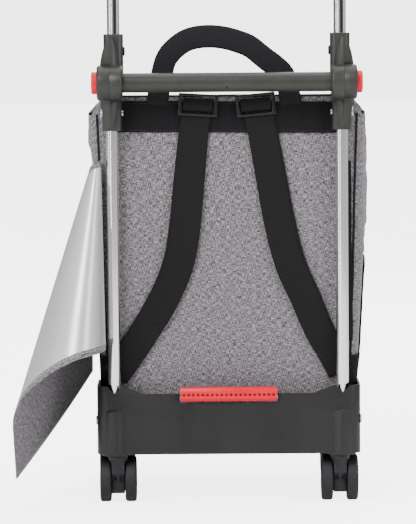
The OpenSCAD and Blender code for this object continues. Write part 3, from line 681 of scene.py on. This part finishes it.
def heldBag(co):
    # the rear panel, the foot, the rim and the upright corner seams keep their place
    fromRim = ease((bag["rim"] - co.z) / (40 * mm))
    fromFoot = ease((co.z - bag["footTop"]) / (50 * mm))
    fromBack = ease((co.y - bag["back"] - 6 * mm) / (34 * mm))
    # so do the stretches under the net pocket and under the open flap
    under = netHigh.z if co.x > 0.13 else flapHigh.z if co.x < -0.13 else 0
    fromCover = ease((co.z - under) / (45 * mm))
    return 1 - min(fromRim, fromFoot, fromBack, fromCover)


bagBody = sheetOf("bag_body", bodySet["columns"], bodySet["rows"], bodyPlace, (1.1, 0.62))
outward(bagBody)
swell(bagBody, heldBag, 1.6, 5 * mm)
bagBody.data.materials.append(melange)
bagBody.data.materials.append(insideCloth)
thicken(bagBody, bodySet["wall"], offset=-1, innerMaterial=1)
smooth(bagBody, 60)
dress(bagBody, "bag", "melange_fabric", None, ("bag_shell",))
print("bag body made")

# dark foot of the bag
# it leaves this share of the way round open, each way from the middle of the rear panel
footSet = {"columns": 110, "rows": 14, "wall": 1.5 * mm, "open": 0.143, "seam": 1.2 * mm}


def footPlace(u, v):
    s = (0.5 + footSet["open"] + u * (1 - 2 * footSet["open"])) % 1.0
    z = mix(bag["bottom"] + 1.2 * mm, bag["footTop"], v)
    tuck = 1.5 * mm * (1 - ease(v / 0.08))
    return bagPoint(s, z, 1.9 * mm - tuck)


bagFoot = sheetOf("bag_foot_cover", footSet["columns"], footSet["rows"], footPlace, (0.78, 0.104))
thicken(bagFoot, footSet["wall"], offset=0)
smooth(outward(bagFoot), 60)
dress(bagFoot, "bag", "black_fabric", footCloth, ("bag_foot",))
print("bag foot made")

# lid
lidSet = {"columns": 56, "rows": 40, "wall": 3 * mm, "crown": 3.5 * mm, "slope": 5 * mm, "piping": 1.6 * mm}


def lidPlace(u, v):
    # a crowned panel whose border turns down to the rim
    x0, x1 = lidLow.x, lidHigh.x
    y0, y1 = lidLow.y, lidHigh.y
    halfW, halfD = (x1 - x0) / 2, (y1 - y0) / 2
    a, b = 2 * u - 1, 2 * v - 1
    x, y, edge = roundedSquare(a * halfW, b * halfD, halfW, halfD, bag["lidEdge"])
    top = lidHigh.z - lidSet["crown"] - lidSet["slope"] * ease((y + halfD) / (2 * halfD))
    drop = top - lidLow.z
    fall = edge / bag["lidEdge"] if y > 0 else (halfW - abs(x)) / bag["lidEdge"]
    z = top - drop * (1 - min(1, fall)) ** 2.2
    crown = lidSet["crown"] * (1 - a * a) * (1 - b * b)
    wrinkle = 0.8 * mm * noise.noise(Vector((x * 14, y * 14, 3)))
    return Vector((x, y + (y0 + y1) / 2, z + crown + wrinkle * min(1, fall)))


lidPanel = sheetOf("lid_panel", lidSet["columns"], lidSet["rows"], lidPlace, (0.40, 0.26))
outward(lidPanel)
lidPanel.data.materials.append(melange)
lidPanel.data.materials.append(insideCloth)
thicken(lidPanel, lidSet["wall"], offset=-1, innerMaterial=1)
smooth(lidPanel, 60)
dress(lidPanel, "lid", "melange_fabric", None, ("bag_lid",))
print("lid made")

# rear band
bandSet = {"reach": 11 * mm, "thickness": 1.3 * mm}
bandY = (bandLow.y + bandHigh.y) / 2
bandZ = (bandLow.z + bandHigh.z) / 2
bandWidth = bandHigh.z - bandLow.z
bandX = bandHigh.x + bandSet["reach"]
band = webbing("rear_band", [(x, bandY + 4 * mm * max(0, abs(x) / bandX - 0.93), bandZ - 1.5 * mm * x / bandX)
                             for x in (-bandX, -0.1, 0, 0.1, bandX)], bandWidth, bandSet["thickness"])
dress(band, "bag", "black_webbing", bandWeb, ("back_band",))

# carrying loop
loopLow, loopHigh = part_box("top_handle")
loopY = (loopLow.y + loopHigh.y) / 2
loopTop = loopHigh.z
loopSet = {
    "width": 28 * mm, "thickness": 2.4 * mm,
    # [x, depth under the loop's highest line], in millimetres
    "path": [(-90, 104), (-89, 95), (-83, 62), (-77, 43), (-66, 30), (-49, 19), (-26, 15), (-3, 17), (18, 23),
             (31, 29), (47, 42), (64, 55), (75, 68), (82, 96), (83, 104)],
}
# the ends go down behind the band
loopPath = [(x * mm, loopY + 2.2 * mm * ease((d - 80) / 14), loopTop - (d - 1) * mm)
            for x, d in loopSet["path"]]
loop = webbing("carrying_loop", loopPath, loopSet["width"], loopSet["thickness"],
               lift=lambda u, v: 1.2 * mm * math.sin(math.pi * v) * math.sin(math.pi * u))
innerPath = [(x * mm, loopY + 1.9 * mm, loopTop - (d + 2.5) * mm) for x, d in loopSet["path"][3:12]]
inner = webbing("loop_inner", innerPath, 24 * mm, 1.4 * mm)
loop = joined("carrying_loop", [loop, inner])
dress(loop, "bag", "black_webbing", loopWeb, ("top_handle",))

# shoulder straps: a front and a back layer each
sliderLow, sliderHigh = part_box("strap_sliders")
sliderZ = (sliderLow.z + sliderHigh.z) / 2
strapSet = {
    "width": 37.5 * mm, "thickness": 1.4 * mm,
    # [x, depth below the slider], in millimetres
    "left": [(-38, 3), (-42, 32), (-48, 97), (-54.5, 164), (-64, 210), (-84, 255), (-112, 300), (-129, 325),
             (-148, 352)],
    "right": [(38, 3), (45, 32), (56, 97), (67.5, 160), (81, 210), (99, 250), (118, 294), (133, 320),
              (148, 348)],
}
for side, sign in (("left", -1), ("right", 1)):
    low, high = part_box("strap_" + side)
    frontY, backY = low.y + 0.9 * mm, high.y - 0.9 * mm
    path = strapSet[side]
    front = [(x * mm, frontY + 1.6 * mm * ease((d - 250) / 90), sliderZ - d * mm) for x, d in path]
    back = [((x + sign * 3.5 * math.sin(math.pi * min(1, d / 330))) * mm, backY, sliderZ - d * mm)
            for x, d in path]
    a = webbing("strap_front_" + side, front, strapSet["width"], strapSet["thickness"])
    b = webbing("strap_back_" + side, back, strapSet["width"], strapSet["thickness"])
    o = joined("shoulder_strap_" + side, [a, b])
    dress(o, "bag", "black_webbing", strapWeb, ("strap_" + side,))
print("webbing made")

# sliders, each with the strap folded over its middle bar
sliderSet = {
    "width": 51 * mm, "height": 29 * mm, "thickness": 3.6 * mm, "tilt": (3.5, -5.0),
    "side": 5 * mm, "bar": 3.4 * mm, "rounding": 1.1 * mm,
}
sliderX = sliderHigh.x - sliderSet["width"] / 2 - 1 * mm


def sliderFrame(name):
    w, h = sliderSet["width"] / 2, sliderSet["height"] / 2
    side, bar = sliderSet["side"], sliderSet["bar"]
    xs = [-w, -w + side, w - side, w]
    zs = [-h, -h + bar, -bar, bar, h - bar, h]
    select()
    bpy.ops.mesh.primitive_grid_add(x_subdivisions=3, y_subdivisions=5, size=1)
    o = named(name)
    for v in o.data.vertices:
        v.co = (xs[round((v.co.x + 0.5) * 3)], 0, zs[round((v.co.y + 0.5) * 5)])
    bpy.ops.object.mode_set(mode="EDIT")
    bpy.ops.mesh.select_all(action="DESELECT")
    bpy.ops.object.mode_set(mode="OBJECT")
    for p in o.data.polygons:
        c = p.center
        p.select = abs(c.x) < w - side and bar < abs(c.z) < h - bar
    bpy.ops.object.mode_set(mode="EDIT")
    bpy.ops.mesh.delete(type="FACE")
    bpy.ops.object.mode_set(mode="OBJECT")
    thicken(o, sliderSet["thickness"])
    bevelled(o, sliderSet["rounding"], 3)
    return smooth(outward(o), 40)


sliderPieces, foldPieces = [], []
for sign, tilt in ((-1, sliderSet["tilt"][0]), (1, sliderSet["tilt"][1])):
    at = Vector((sign * sliderX, sliderLow.y + 2.6 * mm, sliderZ))
    o = sliderFrame("slider")
    # the roll of webbing on the middle bar, from one slot to the other
    roll = webbing("fold", [(0, 2.2 * mm, 8.5 * mm), (0, -1.2 * mm, 6.6 * mm), (0, -3.1 * mm, 2.6 * mm),
                            (0, -3.1 * mm, -2.4 * mm), (0, -1.4 * mm, -6.4 * mm), (0, 2 * mm, -8.6 * mm)],
                   39 * mm, 1.4 * mm, across=(1, 0, 0), step=1.4 * mm)
    for piece in (o, roll):
        piece.matrix_world = Matrix.Translation(at) @ Matrix.Rotation(math.radians(tilt), 4, "Y")
        settle(piece)
    sliderPieces.append(o)
    foldPieces.append(roll)
sliders = joined("slider_buckles", sliderPieces)
dress(sliders, "bag", "slider_plastic", sliderPlastic, ("strap_sliders",))
folds = joined("slider_folds", foldPieces)
dress(folds, "bag", "black_webbing", strapWeb)
print("sliders made")

# cover flap: a rectangle rolled on a cone, so that nothing stretches
flapSet = {
    "width": 0.370, "height": 0.240, "lead": 31 * mm, "thickness": 1.6 * mm, "hem": 8 * mm,
    "columns": 88, "rows": 56,
    # the cone's rays, as degrees off straight down [left, back]: a bend, then a straight run
    "fold": [(0, 0), (-7, 38), (20, 20), (17, 9)], "end": (2, -31), "length": 2.4, "steps": 72,
}
flapTip = Vector((-bag["halfFoot"] - 2 * mm, bag["back"] - 1 * mm, flapHigh.z + flapSet["lead"]))


def foldRay(t):
    p = [Vector((*q, 0)) for q in flapSet["fold"]]
    if t <= 1:
        c = (1 - t) ** 3 * p[0] + 3 * (1 - t) ** 2 * t * p[1] + 3 * (1 - t) * t * t * p[2] + t ** 3 * p[3]
    else:
        c = p[3] + (t - 1) * (Vector((*flapSet["end"], 0)) - p[3])
    r = c.length
    k = 0 if r < 0.001 else math.sin(math.radians(r)) / r
    return Vector((-k * c.x, -k * c.y, -math.cos(math.radians(r))))


foldTable = [(0.0, 0.0)]
for i in range(flapSet["steps"]):
    t0 = flapSet["length"] * i / flapSet["steps"]
    t1 = flapSet["length"] * (i + 1) / flapSet["steps"]
    turned = math.degrees(math.acos(min(1, foldRay(t0).dot(foldRay(t1)))))
    foldTable.append((foldTable[-1][0] + turned, t1))


def flapPoint(u, v):
    w = v + flapSet["lead"]
    angle = math.degrees(math.atan2(u, w))
    for (a0, t0), (a1, t1) in zip(foldTable, foldTable[1:]):
        if angle <= a1:
            break
    t = mix(t0, t1, min(1, (angle - a0) / max(1e-9, a1 - a0)))
    p = flapTip + math.hypot(u, w) * foldRay(t)
    # a soft wave that grows towards the free corner
    loose = ease(u / flapSet["width"]) * ease(v / flapSet["height"])
    return p + Vector((0, 1, 0)) * 2.0 * mm * loose * math.sin(26 * u + 9 * v)


flap = sheetOf("rear_flap", flapSet["columns"], flapSet["rows"],
               lambda u, v: flapPoint(u * flapSet["width"], v * flapSet["height"]),
               (flapSet["width"], flapSet["height"]))
flap.data.materials.append(lining)
flap.data.materials.append(melange)
hemU, hemV = flapSet["hem"] / flapSet["width"], flapSet["hem"] / flapSet["height"]
uv = flap.data.uv_layers[0].data
for p in flap.data.polygons:
    u = sum(uv[i].uv[0] for i in p.loop_indices) / len(p.loop_indices) / flapSet["width"]
    v = sum(uv[i].uv[1] for i in p.loop_indices) / len(p.loop_indices) / flapSet["height"]
    p.material_index = 1 if u > 1 - hemU or v < hemV or v > 1 - hemV else 0
thicken(flap, flapSet["thickness"], innerMaterial=1)
smooth(flap, 60)
dress(flap, "bag", "flap_lining", None, ("cover_flap",))
print("flap made")

# sewn edges of the bag
def ringShare(x, steps=400):
    # where round the bag, as a share, its outline below the rim passes x near the right rear corner
    best, at = 9, 0
    for i in range(steps):
        share = 0.3 + 0.2 * i / steps
        p = bagPoint(share, bag["rim"] - 0.1, 0, 0)
        if abs(p.x - x) < best:
            best, at = abs(p.x - x), share
    return at


pipingSet = {"radius": 1.5 * mm, "low": bag["footTop"] - 6 * mm}
cornerShare = ringShare(bag["halfTop"] - 13 * mm)
pipes = []
for name, share in (("right", cornerShare), ("left", 1 - cornerShare)):
    line = [bagPoint(share, mix(pipingSet["low"], bag["rim"] + 1 * mm, i / 24), 0.6 * mm) for i in range(25)]
    pipes.append(cordTube("piping_" + name, line, pipingSet["radius"]))
piping = joined("corner_piping", pipes)
dress(piping, "bag", "black_fabric", pipingCloth)

# a soft cord covers the seam between the dark foot and the melange cloth
footLine = [bagPoint((0.5 + footSet["open"] + (1 - 2 * footSet["open"]) * i / 90) % 1.0,
                     bag["footTop"] - 0.4 * mm, 2.0 * mm) for i in range(91)]
footSeam = cordTube("foot_seam", footLine, footSet["seam"], step=6 * mm)
dress(footSeam, "bag", "black_fabric", pipingCloth)
print("piping made")

# closure strip on the right rear edge
stripLow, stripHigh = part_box("side_strip")
stripX = (stripLow.x + stripHigh.x) / 2
stripSet = {"width": 6.5 * mm, "thickness": 1.4 * mm, "lean": 1.6 * mm}


def stripPoint(z, lean):
    x = stripX - 0.4 * mm + lean
    best = min((abs(bagPoint(0.30 + 0.001 * k, z).x - x), k) for k in range(150))[1]
    return bagPoint(0.30 + 0.001 * best, z, 1.6 * mm)


stripLine = [stripPoint(mix(stripLow.z + 1 * mm, stripHigh.z - 1 * mm, i / 12),
                        stripSet["lean"] * (0.5 - i / 12)) for i in range(13)]
strip = webbing("closure_strip", stripLine, stripSet["width"], stripSet["thickness"], facing=(0.5, -0.87, 0))
dress(strip, "bag", "black_webbing", bandWeb, ("side_strip",))

# net pocket on the right side
netSet = {"columns": 27, "rows": 22, "thread": 0.75 * mm, "belly": 2 * mm, "hem": 13 * mm, "side": 7 * mm}


def shareAtY(y, z):
    # the bag's right side is one straight run of the ring
    best = min((abs(bagPoint(0.12 + 0.0015 * k, z, 0, 0).y - y), k) for k in range(170))[1]
    return 0.12 + 0.0015 * best


netShares = {}


def netPlace(u, v, out=2.4 * mm):
    y = mix(netLow.y, netHigh.y, u)
    z = mix(netLow.z, netHigh.z, v)
    key = round(y, 3)
    if key not in netShares:
        netShares[key] = shareAtY(y, (netLow.z + netHigh.z) / 2)
    belly = netSet["belly"] * math.sin(math.pi * u) ** 0.7 * ease(v * 1.4) * (0.55 + 0.45 * v)
    return bagPoint(netShares[key], z, out + belly)


select()
bpy.ops.mesh.primitive_grid_add(x_subdivisions=netSet["columns"], y_subdivisions=netSet["rows"], size=1)
net = named("pocket_net")
corners = len(net.data.vertices)
bpy.ops.object.mode_set(mode="EDIT")
bpy.ops.mesh.select_all(action="SELECT")
bpy.ops.mesh.poke()
bpy.ops.mesh.select_all(action="DESELECT")
bpy.ops.mesh.select_mode(type="EDGE")
bpy.ops.object.mode_set(mode="OBJECT")
# the grid's own edges go, and the diamonds between its cells stay
at = [v.co.copy() for v in net.data.vertices]
for e in net.data.edges:
    a, b = e.vertices
    mid = (at[a] + at[b]) / 2
    e.select = a < corners and b < corners and abs(mid.x) < 0.499 and abs(mid.y) < 0.499
bpy.ops.object.mode_set(mode="EDIT")
bpy.ops.mesh.dissolve_edges(use_verts=False)
bpy.ops.mesh.select_mode(type="VERT")
bpy.ops.object.mode_set(mode="OBJECT")
for v in net.data.vertices:
    v.co = netPlace(v.co.x + 0.5, v.co.y + 0.5)
m = net.modifiers.new("Threads", "WIREFRAME")
m.thickness = netSet["thread"]
m.use_even_offset = False
m.use_boundary = True
applyAll(net)
smooth(outward(net), 60)
dress(net, "bag", "pocket_mesh", netThread, ("side_pocket",))
edgeTop = webbing("pocket_binding_top", [netPlace(i / 16, 1.0) for i in range(17)], netSet["hem"], 1.5 * mm,
                  facing=(1, 0, 0))
edges = [edgeTop]
for u in (0.0, 1.0):
    edges.append(webbing("pocket_binding", [netPlace(u, i / 8) for i in range(9)], netSet["side"], 1.3 * mm,
                         facing=(1, 0, 0)))
binding = joined("pocket_binding", edges)
dress(binding, "bag", "black_webbing", bandWeb)
print("net pocket made")

# zipped pocket on the front
pocketLow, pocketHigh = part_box("front_pocket")
pocketSet = {"columns": 54, "rows": 58, "corner": 26 * mm, "fall": 24 * mm, "wall": 2.4 * mm}


def frontAt(z):
    # the bag's front face under the pocket
    h = (z - bag["bottom"]) / (bag["rim"] - bag["bottom"])
    return bag["back"] + mix(bag["depthFoot"], bag["depthTop"], h)


def pocketPlace(u, v):
    halfW, halfH = (pocketHigh.x - pocketLow.x) / 2, (pocketHigh.z - pocketLow.z) / 2
    x, z, edge = roundedSquare((2 * u - 1) * halfW, (2 * v - 1) * halfH, halfW, halfH, pocketSet["corner"])
    z += (pocketLow.z + pocketHigh.z) / 2
    # outwards first, then over the rounded border
    base = frontAt(z) - 1 * mm
    top = pocketHigh.y - 1.5 * mm
    t = min(1, edge / pocketSet["fall"])
    wrinkle = 0.9 * mm * noise.noise(Vector((x * 15, 5, z * 17))) * t
    return Vector((x, base + (top - base) * (1 - (1 - t) ** 2.4) + wrinkle, z))


pocket = sheetOf("front_pocket_cover", pocketSet["columns"], pocketSet["rows"], pocketPlace, (0.24, 0.27))
outward(pocket, weld=False)
if pocket.data.polygons[len(pocket.data.polygons) // 2].normal.y < 0:
    pocket.data.flip_normals()
pocket.data.materials.append(melange)
pocket.data.materials.append(insideCloth)
thicken(pocket, pocketSet["wall"], offset=-1, innerMaterial=1)
smooth(pocket, 60)
dress(pocket, "bag", "melange_fabric", None, ("front_pocket",))


def pocketFace(x, z, out):
    u = (x - pocketLow.x) / (pocketHigh.x - pocketLow.x)
    v = (z - pocketLow.z) / (pocketHigh.z - pocketLow.z)
    return pocketPlace(u, v) + Vector((0, out, 0))


zipSet = {"drop": 34 * mm, "reach": 88 * mm, "tape": 22 * mm, "tooth": 2.1 * mm}
# [name, size, place from the zip's end tooth, rounding], in millimetres
pullerSet = [
    ("pocket_zip_puller", (9, 4, 7.5), (2, 1.2, 0), 1.4),
    ("tab", (6.5, 2.2, 26), (2, 3.4, -14), 1.0),
]
zipZ = pocketHigh.z - zipSet["drop"]
zipLine = [pocketFace(zipSet["reach"] * (i / 12 - 1), zipZ, 0.9 * mm) for i in range(25)]
tape = webbing("pocket_zip_tape", zipLine, zipSet["tape"], 0.9 * mm, facing=(0, 1, 0))
dress(tape, "bag", "black_fabric", zipTape)
teethLine = [p + Vector((0, 1.0 * mm, 0)) for p in zipLine]
teeth = [stitches("pocket_zip_teeth", [p + Vector((0, 0, off)) for p in teethLine],
                  lambda p: Vector((0, 1, 0)), pitch=zipSet["tooth"], length=1.7 * mm, radius=1.0 * mm)
         for off in (-0.9 * mm, 0.9 * mm)]
teethRow = joined("pocket_zip_teeth", teeth)
dress(teethRow, "bag", "slider_plastic", sliderPlastic)
# the slider's body and its pull tab
pullerParts = []
for name, size, offset, rounding in pullerSet:
    select()
    bpy.ops.mesh.primitive_cube_add(size=1)
    block = named(name)
    block.scale = [v * mm for v in size]
    block.location = teethLine[1] + Vector([v * mm for v in offset])
    settle(block)
    pullerParts.append(bevelled(block, rounding * mm, 3))
puller = smooth(joined("pocket_zip_puller", pullerParts), 40)
dress(puller, "bag", "slider_plastic", sliderPlastic)
print("front pocket made")

# lid seam: piping round its front and sides, and along the top of the rear panel
def lidEdge(share, out, z):
    halfW, halfD = (lidHigh.x - lidLow.x) / 2, (lidHigh.y - lidLow.y) / 2
    p, n = ring(share, halfW, halfD, bag["lidEdge"])
    return Vector((p.x, p.y + (lidLow.y + lidHigh.y) / 2, z)) + n * out


lidPipingLine = [lidEdge((0.665 + 0.67 * i / 90) % 1.0, -0.3 * mm, lidLow.z + 0.8 * mm) for i in range(91)]
lidPiping = cordTube("lid_piping", lidPipingLine, lidSet["piping"], step=5 * mm)
dress(lidPiping, "lid", "black_fabric", pipingCloth)
hingeLine = [Vector((x * mm, bag["back"] + 1.4 * mm, lidHigh.z - 0.6 * mm))
             for x in (-146, -100, -50, 0, 50, 100, 146)]
hingePiping = cordTube("rear_top_piping", hingeLine, lidSet["piping"], step=6 * mm)
dress(hingePiping, "bag", "black_fabric", pipingCloth)
print("lid seam made")

# stitches
def back(p):
    return Vector((0, -1, 0))


seams = []
for z in (bandZ + bandWidth / 2 - 2.5 * mm, bandZ - bandWidth / 2 + 2.5 * mm):
    seams.append(stitches("band_seam", [Vector((x, bandY - 0.75 * mm, z - 1.5 * mm * x / bandX))
                                        for x in (-0.14, -0.07, 0, 0.07, 0.14)], back))
bandSeams = joined("band_stitches", seams)
dress(bandSeams, "bag", "black_webbing", threadBlack)


def flapOut(u, v):
    d = 0.5 * mm
    a = flapPoint(u + d, v) - flapPoint(u, v)
    b = flapPoint(u, v + d) - flapPoint(u, v)
    return a.cross(b).normalized()


inset = flapSet["hem"] - 2.2 * mm
wide, tall = flapSet["width"], flapSet["height"]
rows = [[(mix(2 * mm, wide - inset, i / 40), tall - inset) for i in range(41)],
        [(mix(2 * mm, wide - inset, i / 40), inset) for i in range(41)],
        [(wide - inset, mix(inset, tall - inset, i / 24)) for i in range(25)]]
flapSeams = []
for row in rows:
    spots = [(flapPoint(u, v), flapOut(u, v)) for u, v in row]
    sign = 1 if spots[len(spots) // 2][1].y < 0 else -1
    line = [p + n * sign * (flapSet["thickness"] / 2 + 0.2 * mm) for p, n in spots]

    def nearest(q, line=line, spots=spots, sign=sign):
        k = min(range(len(line)), key=lambda i: (line[i] - q).length)
        return spots[k][1] * sign

    flapSeams.append(stitches("flap_seam", line, nearest, pitch=4.6 * mm, length=3.0 * mm, radius=0.4 * mm))
flapStitches = joined("flap_stitches", flapSeams)
dress(flapStitches, "bag", "melange_fabric", threadGrey)
print("stitches made")

# studio
cameraSet = {
    "lens": 206.1, "distance": 3.874, "aim": (-0.0257, -0.12, 0.3159),
    "azimuth": 0.1, "elevation": 5.167, "roll": -0.403,
}
studioSet = {"floorGlow": 4.1, "skyGlow": 5.0, "ambient": 0.8, "lightsAim": (0, 0, 0.45)}
az, el, roll = (math.radians(cameraSet[k]) for k in ("azimuth", "elevation", "roll"))
look = Vector((math.sin(az) * math.cos(el), math.cos(az) * math.cos(el), -math.sin(el)))
right = Vector((math.cos(az), -math.sin(az), 0))
up = right.cross(look)
right, up = right * math.cos(roll) + up * math.sin(roll), up * math.cos(roll) - right * math.sin(roll)
select()
bpy.ops.object.camera_add()
camera = bpy.context.object
camera.name = "camera"
camera.data.lens = cameraSet["lens"]
camera.data.sensor_width = 36
camera.data.clip_end = 60
turn = Matrix((right, up, -look)).transposed()
standing = Vector(cameraSet["aim"]) - look * cameraSet["distance"]
camera.matrix_world = Matrix.Translation(standing) @ turn.to_4x4()
bpy.context.scene.camera = camera

select()
bpy.ops.mesh.primitive_circle_add(vertices=96, radius=14, fill_type="NGON", location=(0, 0, 0))
floor = named("studio_floor")
floorPaint, nodes, links, bsdf = blank("floorPaint")
bsdf.inputs["Base Color"].default_value = (0.93, 0.93, 0.93, 1)
bsdf.inputs["Roughness"].default_value = 0.85
bsdf.inputs["Emission Color"].default_value = (1, 1, 1, 1)
straight = node(nodes, "LightPath").outputs["Is Camera Ray"]
glow = reckoned(nodes, links, "MULTIPLY", straight, studioSet["floorGlow"])
links.new(glow.outputs[0], bsdf.inputs["Emission Strength"])
floor.data.materials.append(floorPaint)

lights = {
    "key": {"at": (-1.3, -2.5, 2.5), "size": 1.1, "power": 95},
    "fill": {"at": (1.9, -2.0, 1.6), "size": 1.3, "power": 42},
    "top": {"at": (0.2, 0.4, 3.0), "size": 2.2, "power": 60},
    "rim": {"at": (0.6, 2.6, 1.8), "size": 1.8, "power": 40},
    "streak": {"at": (-1.7, -2.5, 0.7), "size": 0.1, "tall": 1.6, "power": 10},
    "streak2": {"at": (-2.6, -1.1, 0.7), "size": 0.08, "tall": 1.6, "power": 8},
}
for name, l in lights.items():
    select()
    bpy.ops.object.light_add(type="AREA", location=l["at"])
    lamp = bpy.context.object
    lamp.name = name
    lamp.data.energy = l["power"]
    lamp.data.size = l["size"]
    if "tall" in l:
        lamp.data.shape = "RECTANGLE"
        lamp.data.size_y = l["tall"]
    aim = Vector(studioSet["lightsAim"]) - Vector(l["at"])
    lamp.rotation_euler = aim.to_track_quat("-Z", "Y").to_euler()

# a white room with a dark stretch in front, which the tubes mirror
world = bpy.data.worlds.new("studio")
bpy.context.scene.world = world
world.use_nodes = True
nodes, links = world.node_tree.nodes, world.node_tree.links
background = nodes["Background"]
coord = node(nodes, "TexCoord")
split = node(nodes, "SeparateXYZ")
links.new(coord.outputs["Generated"], split.inputs[0])
flip = reckoned(nodes, links, "MULTIPLY", split.outputs["Y"], -1)
angle = node(nodes, "Math", operation="ARCTAN2")
links.new(split.outputs["X"], angle.inputs[0])
links.new(flip.outputs[0], angle.inputs[1])
share = node(nodes, "MapRange")
share.inputs["From Min"].default_value = -math.pi
share.inputs["From Max"].default_value = math.pi
links.new(angle.outputs[0], share.inputs["Value"])
room = ramp(nodes, links, share.outputs["Result"], [
    (0.0, (0.8, 0.8, 0.8)), (0.2, (0.1, 0.1, 0.12)), (0.27, (1.0, 1.0, 1.0)), (0.44, (0.9, 0.9, 0.92)),
    (0.5, (0.35, 0.36, 0.4)), (0.54, (0.02, 0.025, 0.035)), (0.66, (0.03, 0.035, 0.05)),
    (0.7, (1.0, 1.0, 1.0)),
    (0.82, (0.9, 0.9, 0.92)), (0.88, (0.05, 0.05, 0.06)), (0.96, (0.1, 0.1, 0.12)), (1.0, (0.8, 0.8, 0.8))])
overhead = ramp(nodes, links, split.outputs["Z"], [(0.35, (0, 0, 0)), (0.75, (1, 1, 1))])
sky = node(nodes, "Mix", data_type="RGBA")
links.new(overhead, sky.inputs[0])
links.new(room, sky.inputs[6])
sky.inputs[7].default_value = (1.0, 1.0, 1.0, 1)
seen = node(nodes, "LightPath")
last = node(nodes, "Mix", data_type="RGBA")
links.new(seen.outputs["Is Camera Ray"], last.inputs[0])
links.new(sky.outputs[2], last.inputs[6])
last.inputs[7].default_value = (*(studioSet["skyGlow"],) * 3, 1)
links.new(last.outputs[2], background.inputs["Color"])
background.inputs["Strength"].default_value = studioSet["ambient"]
print("studio lit")
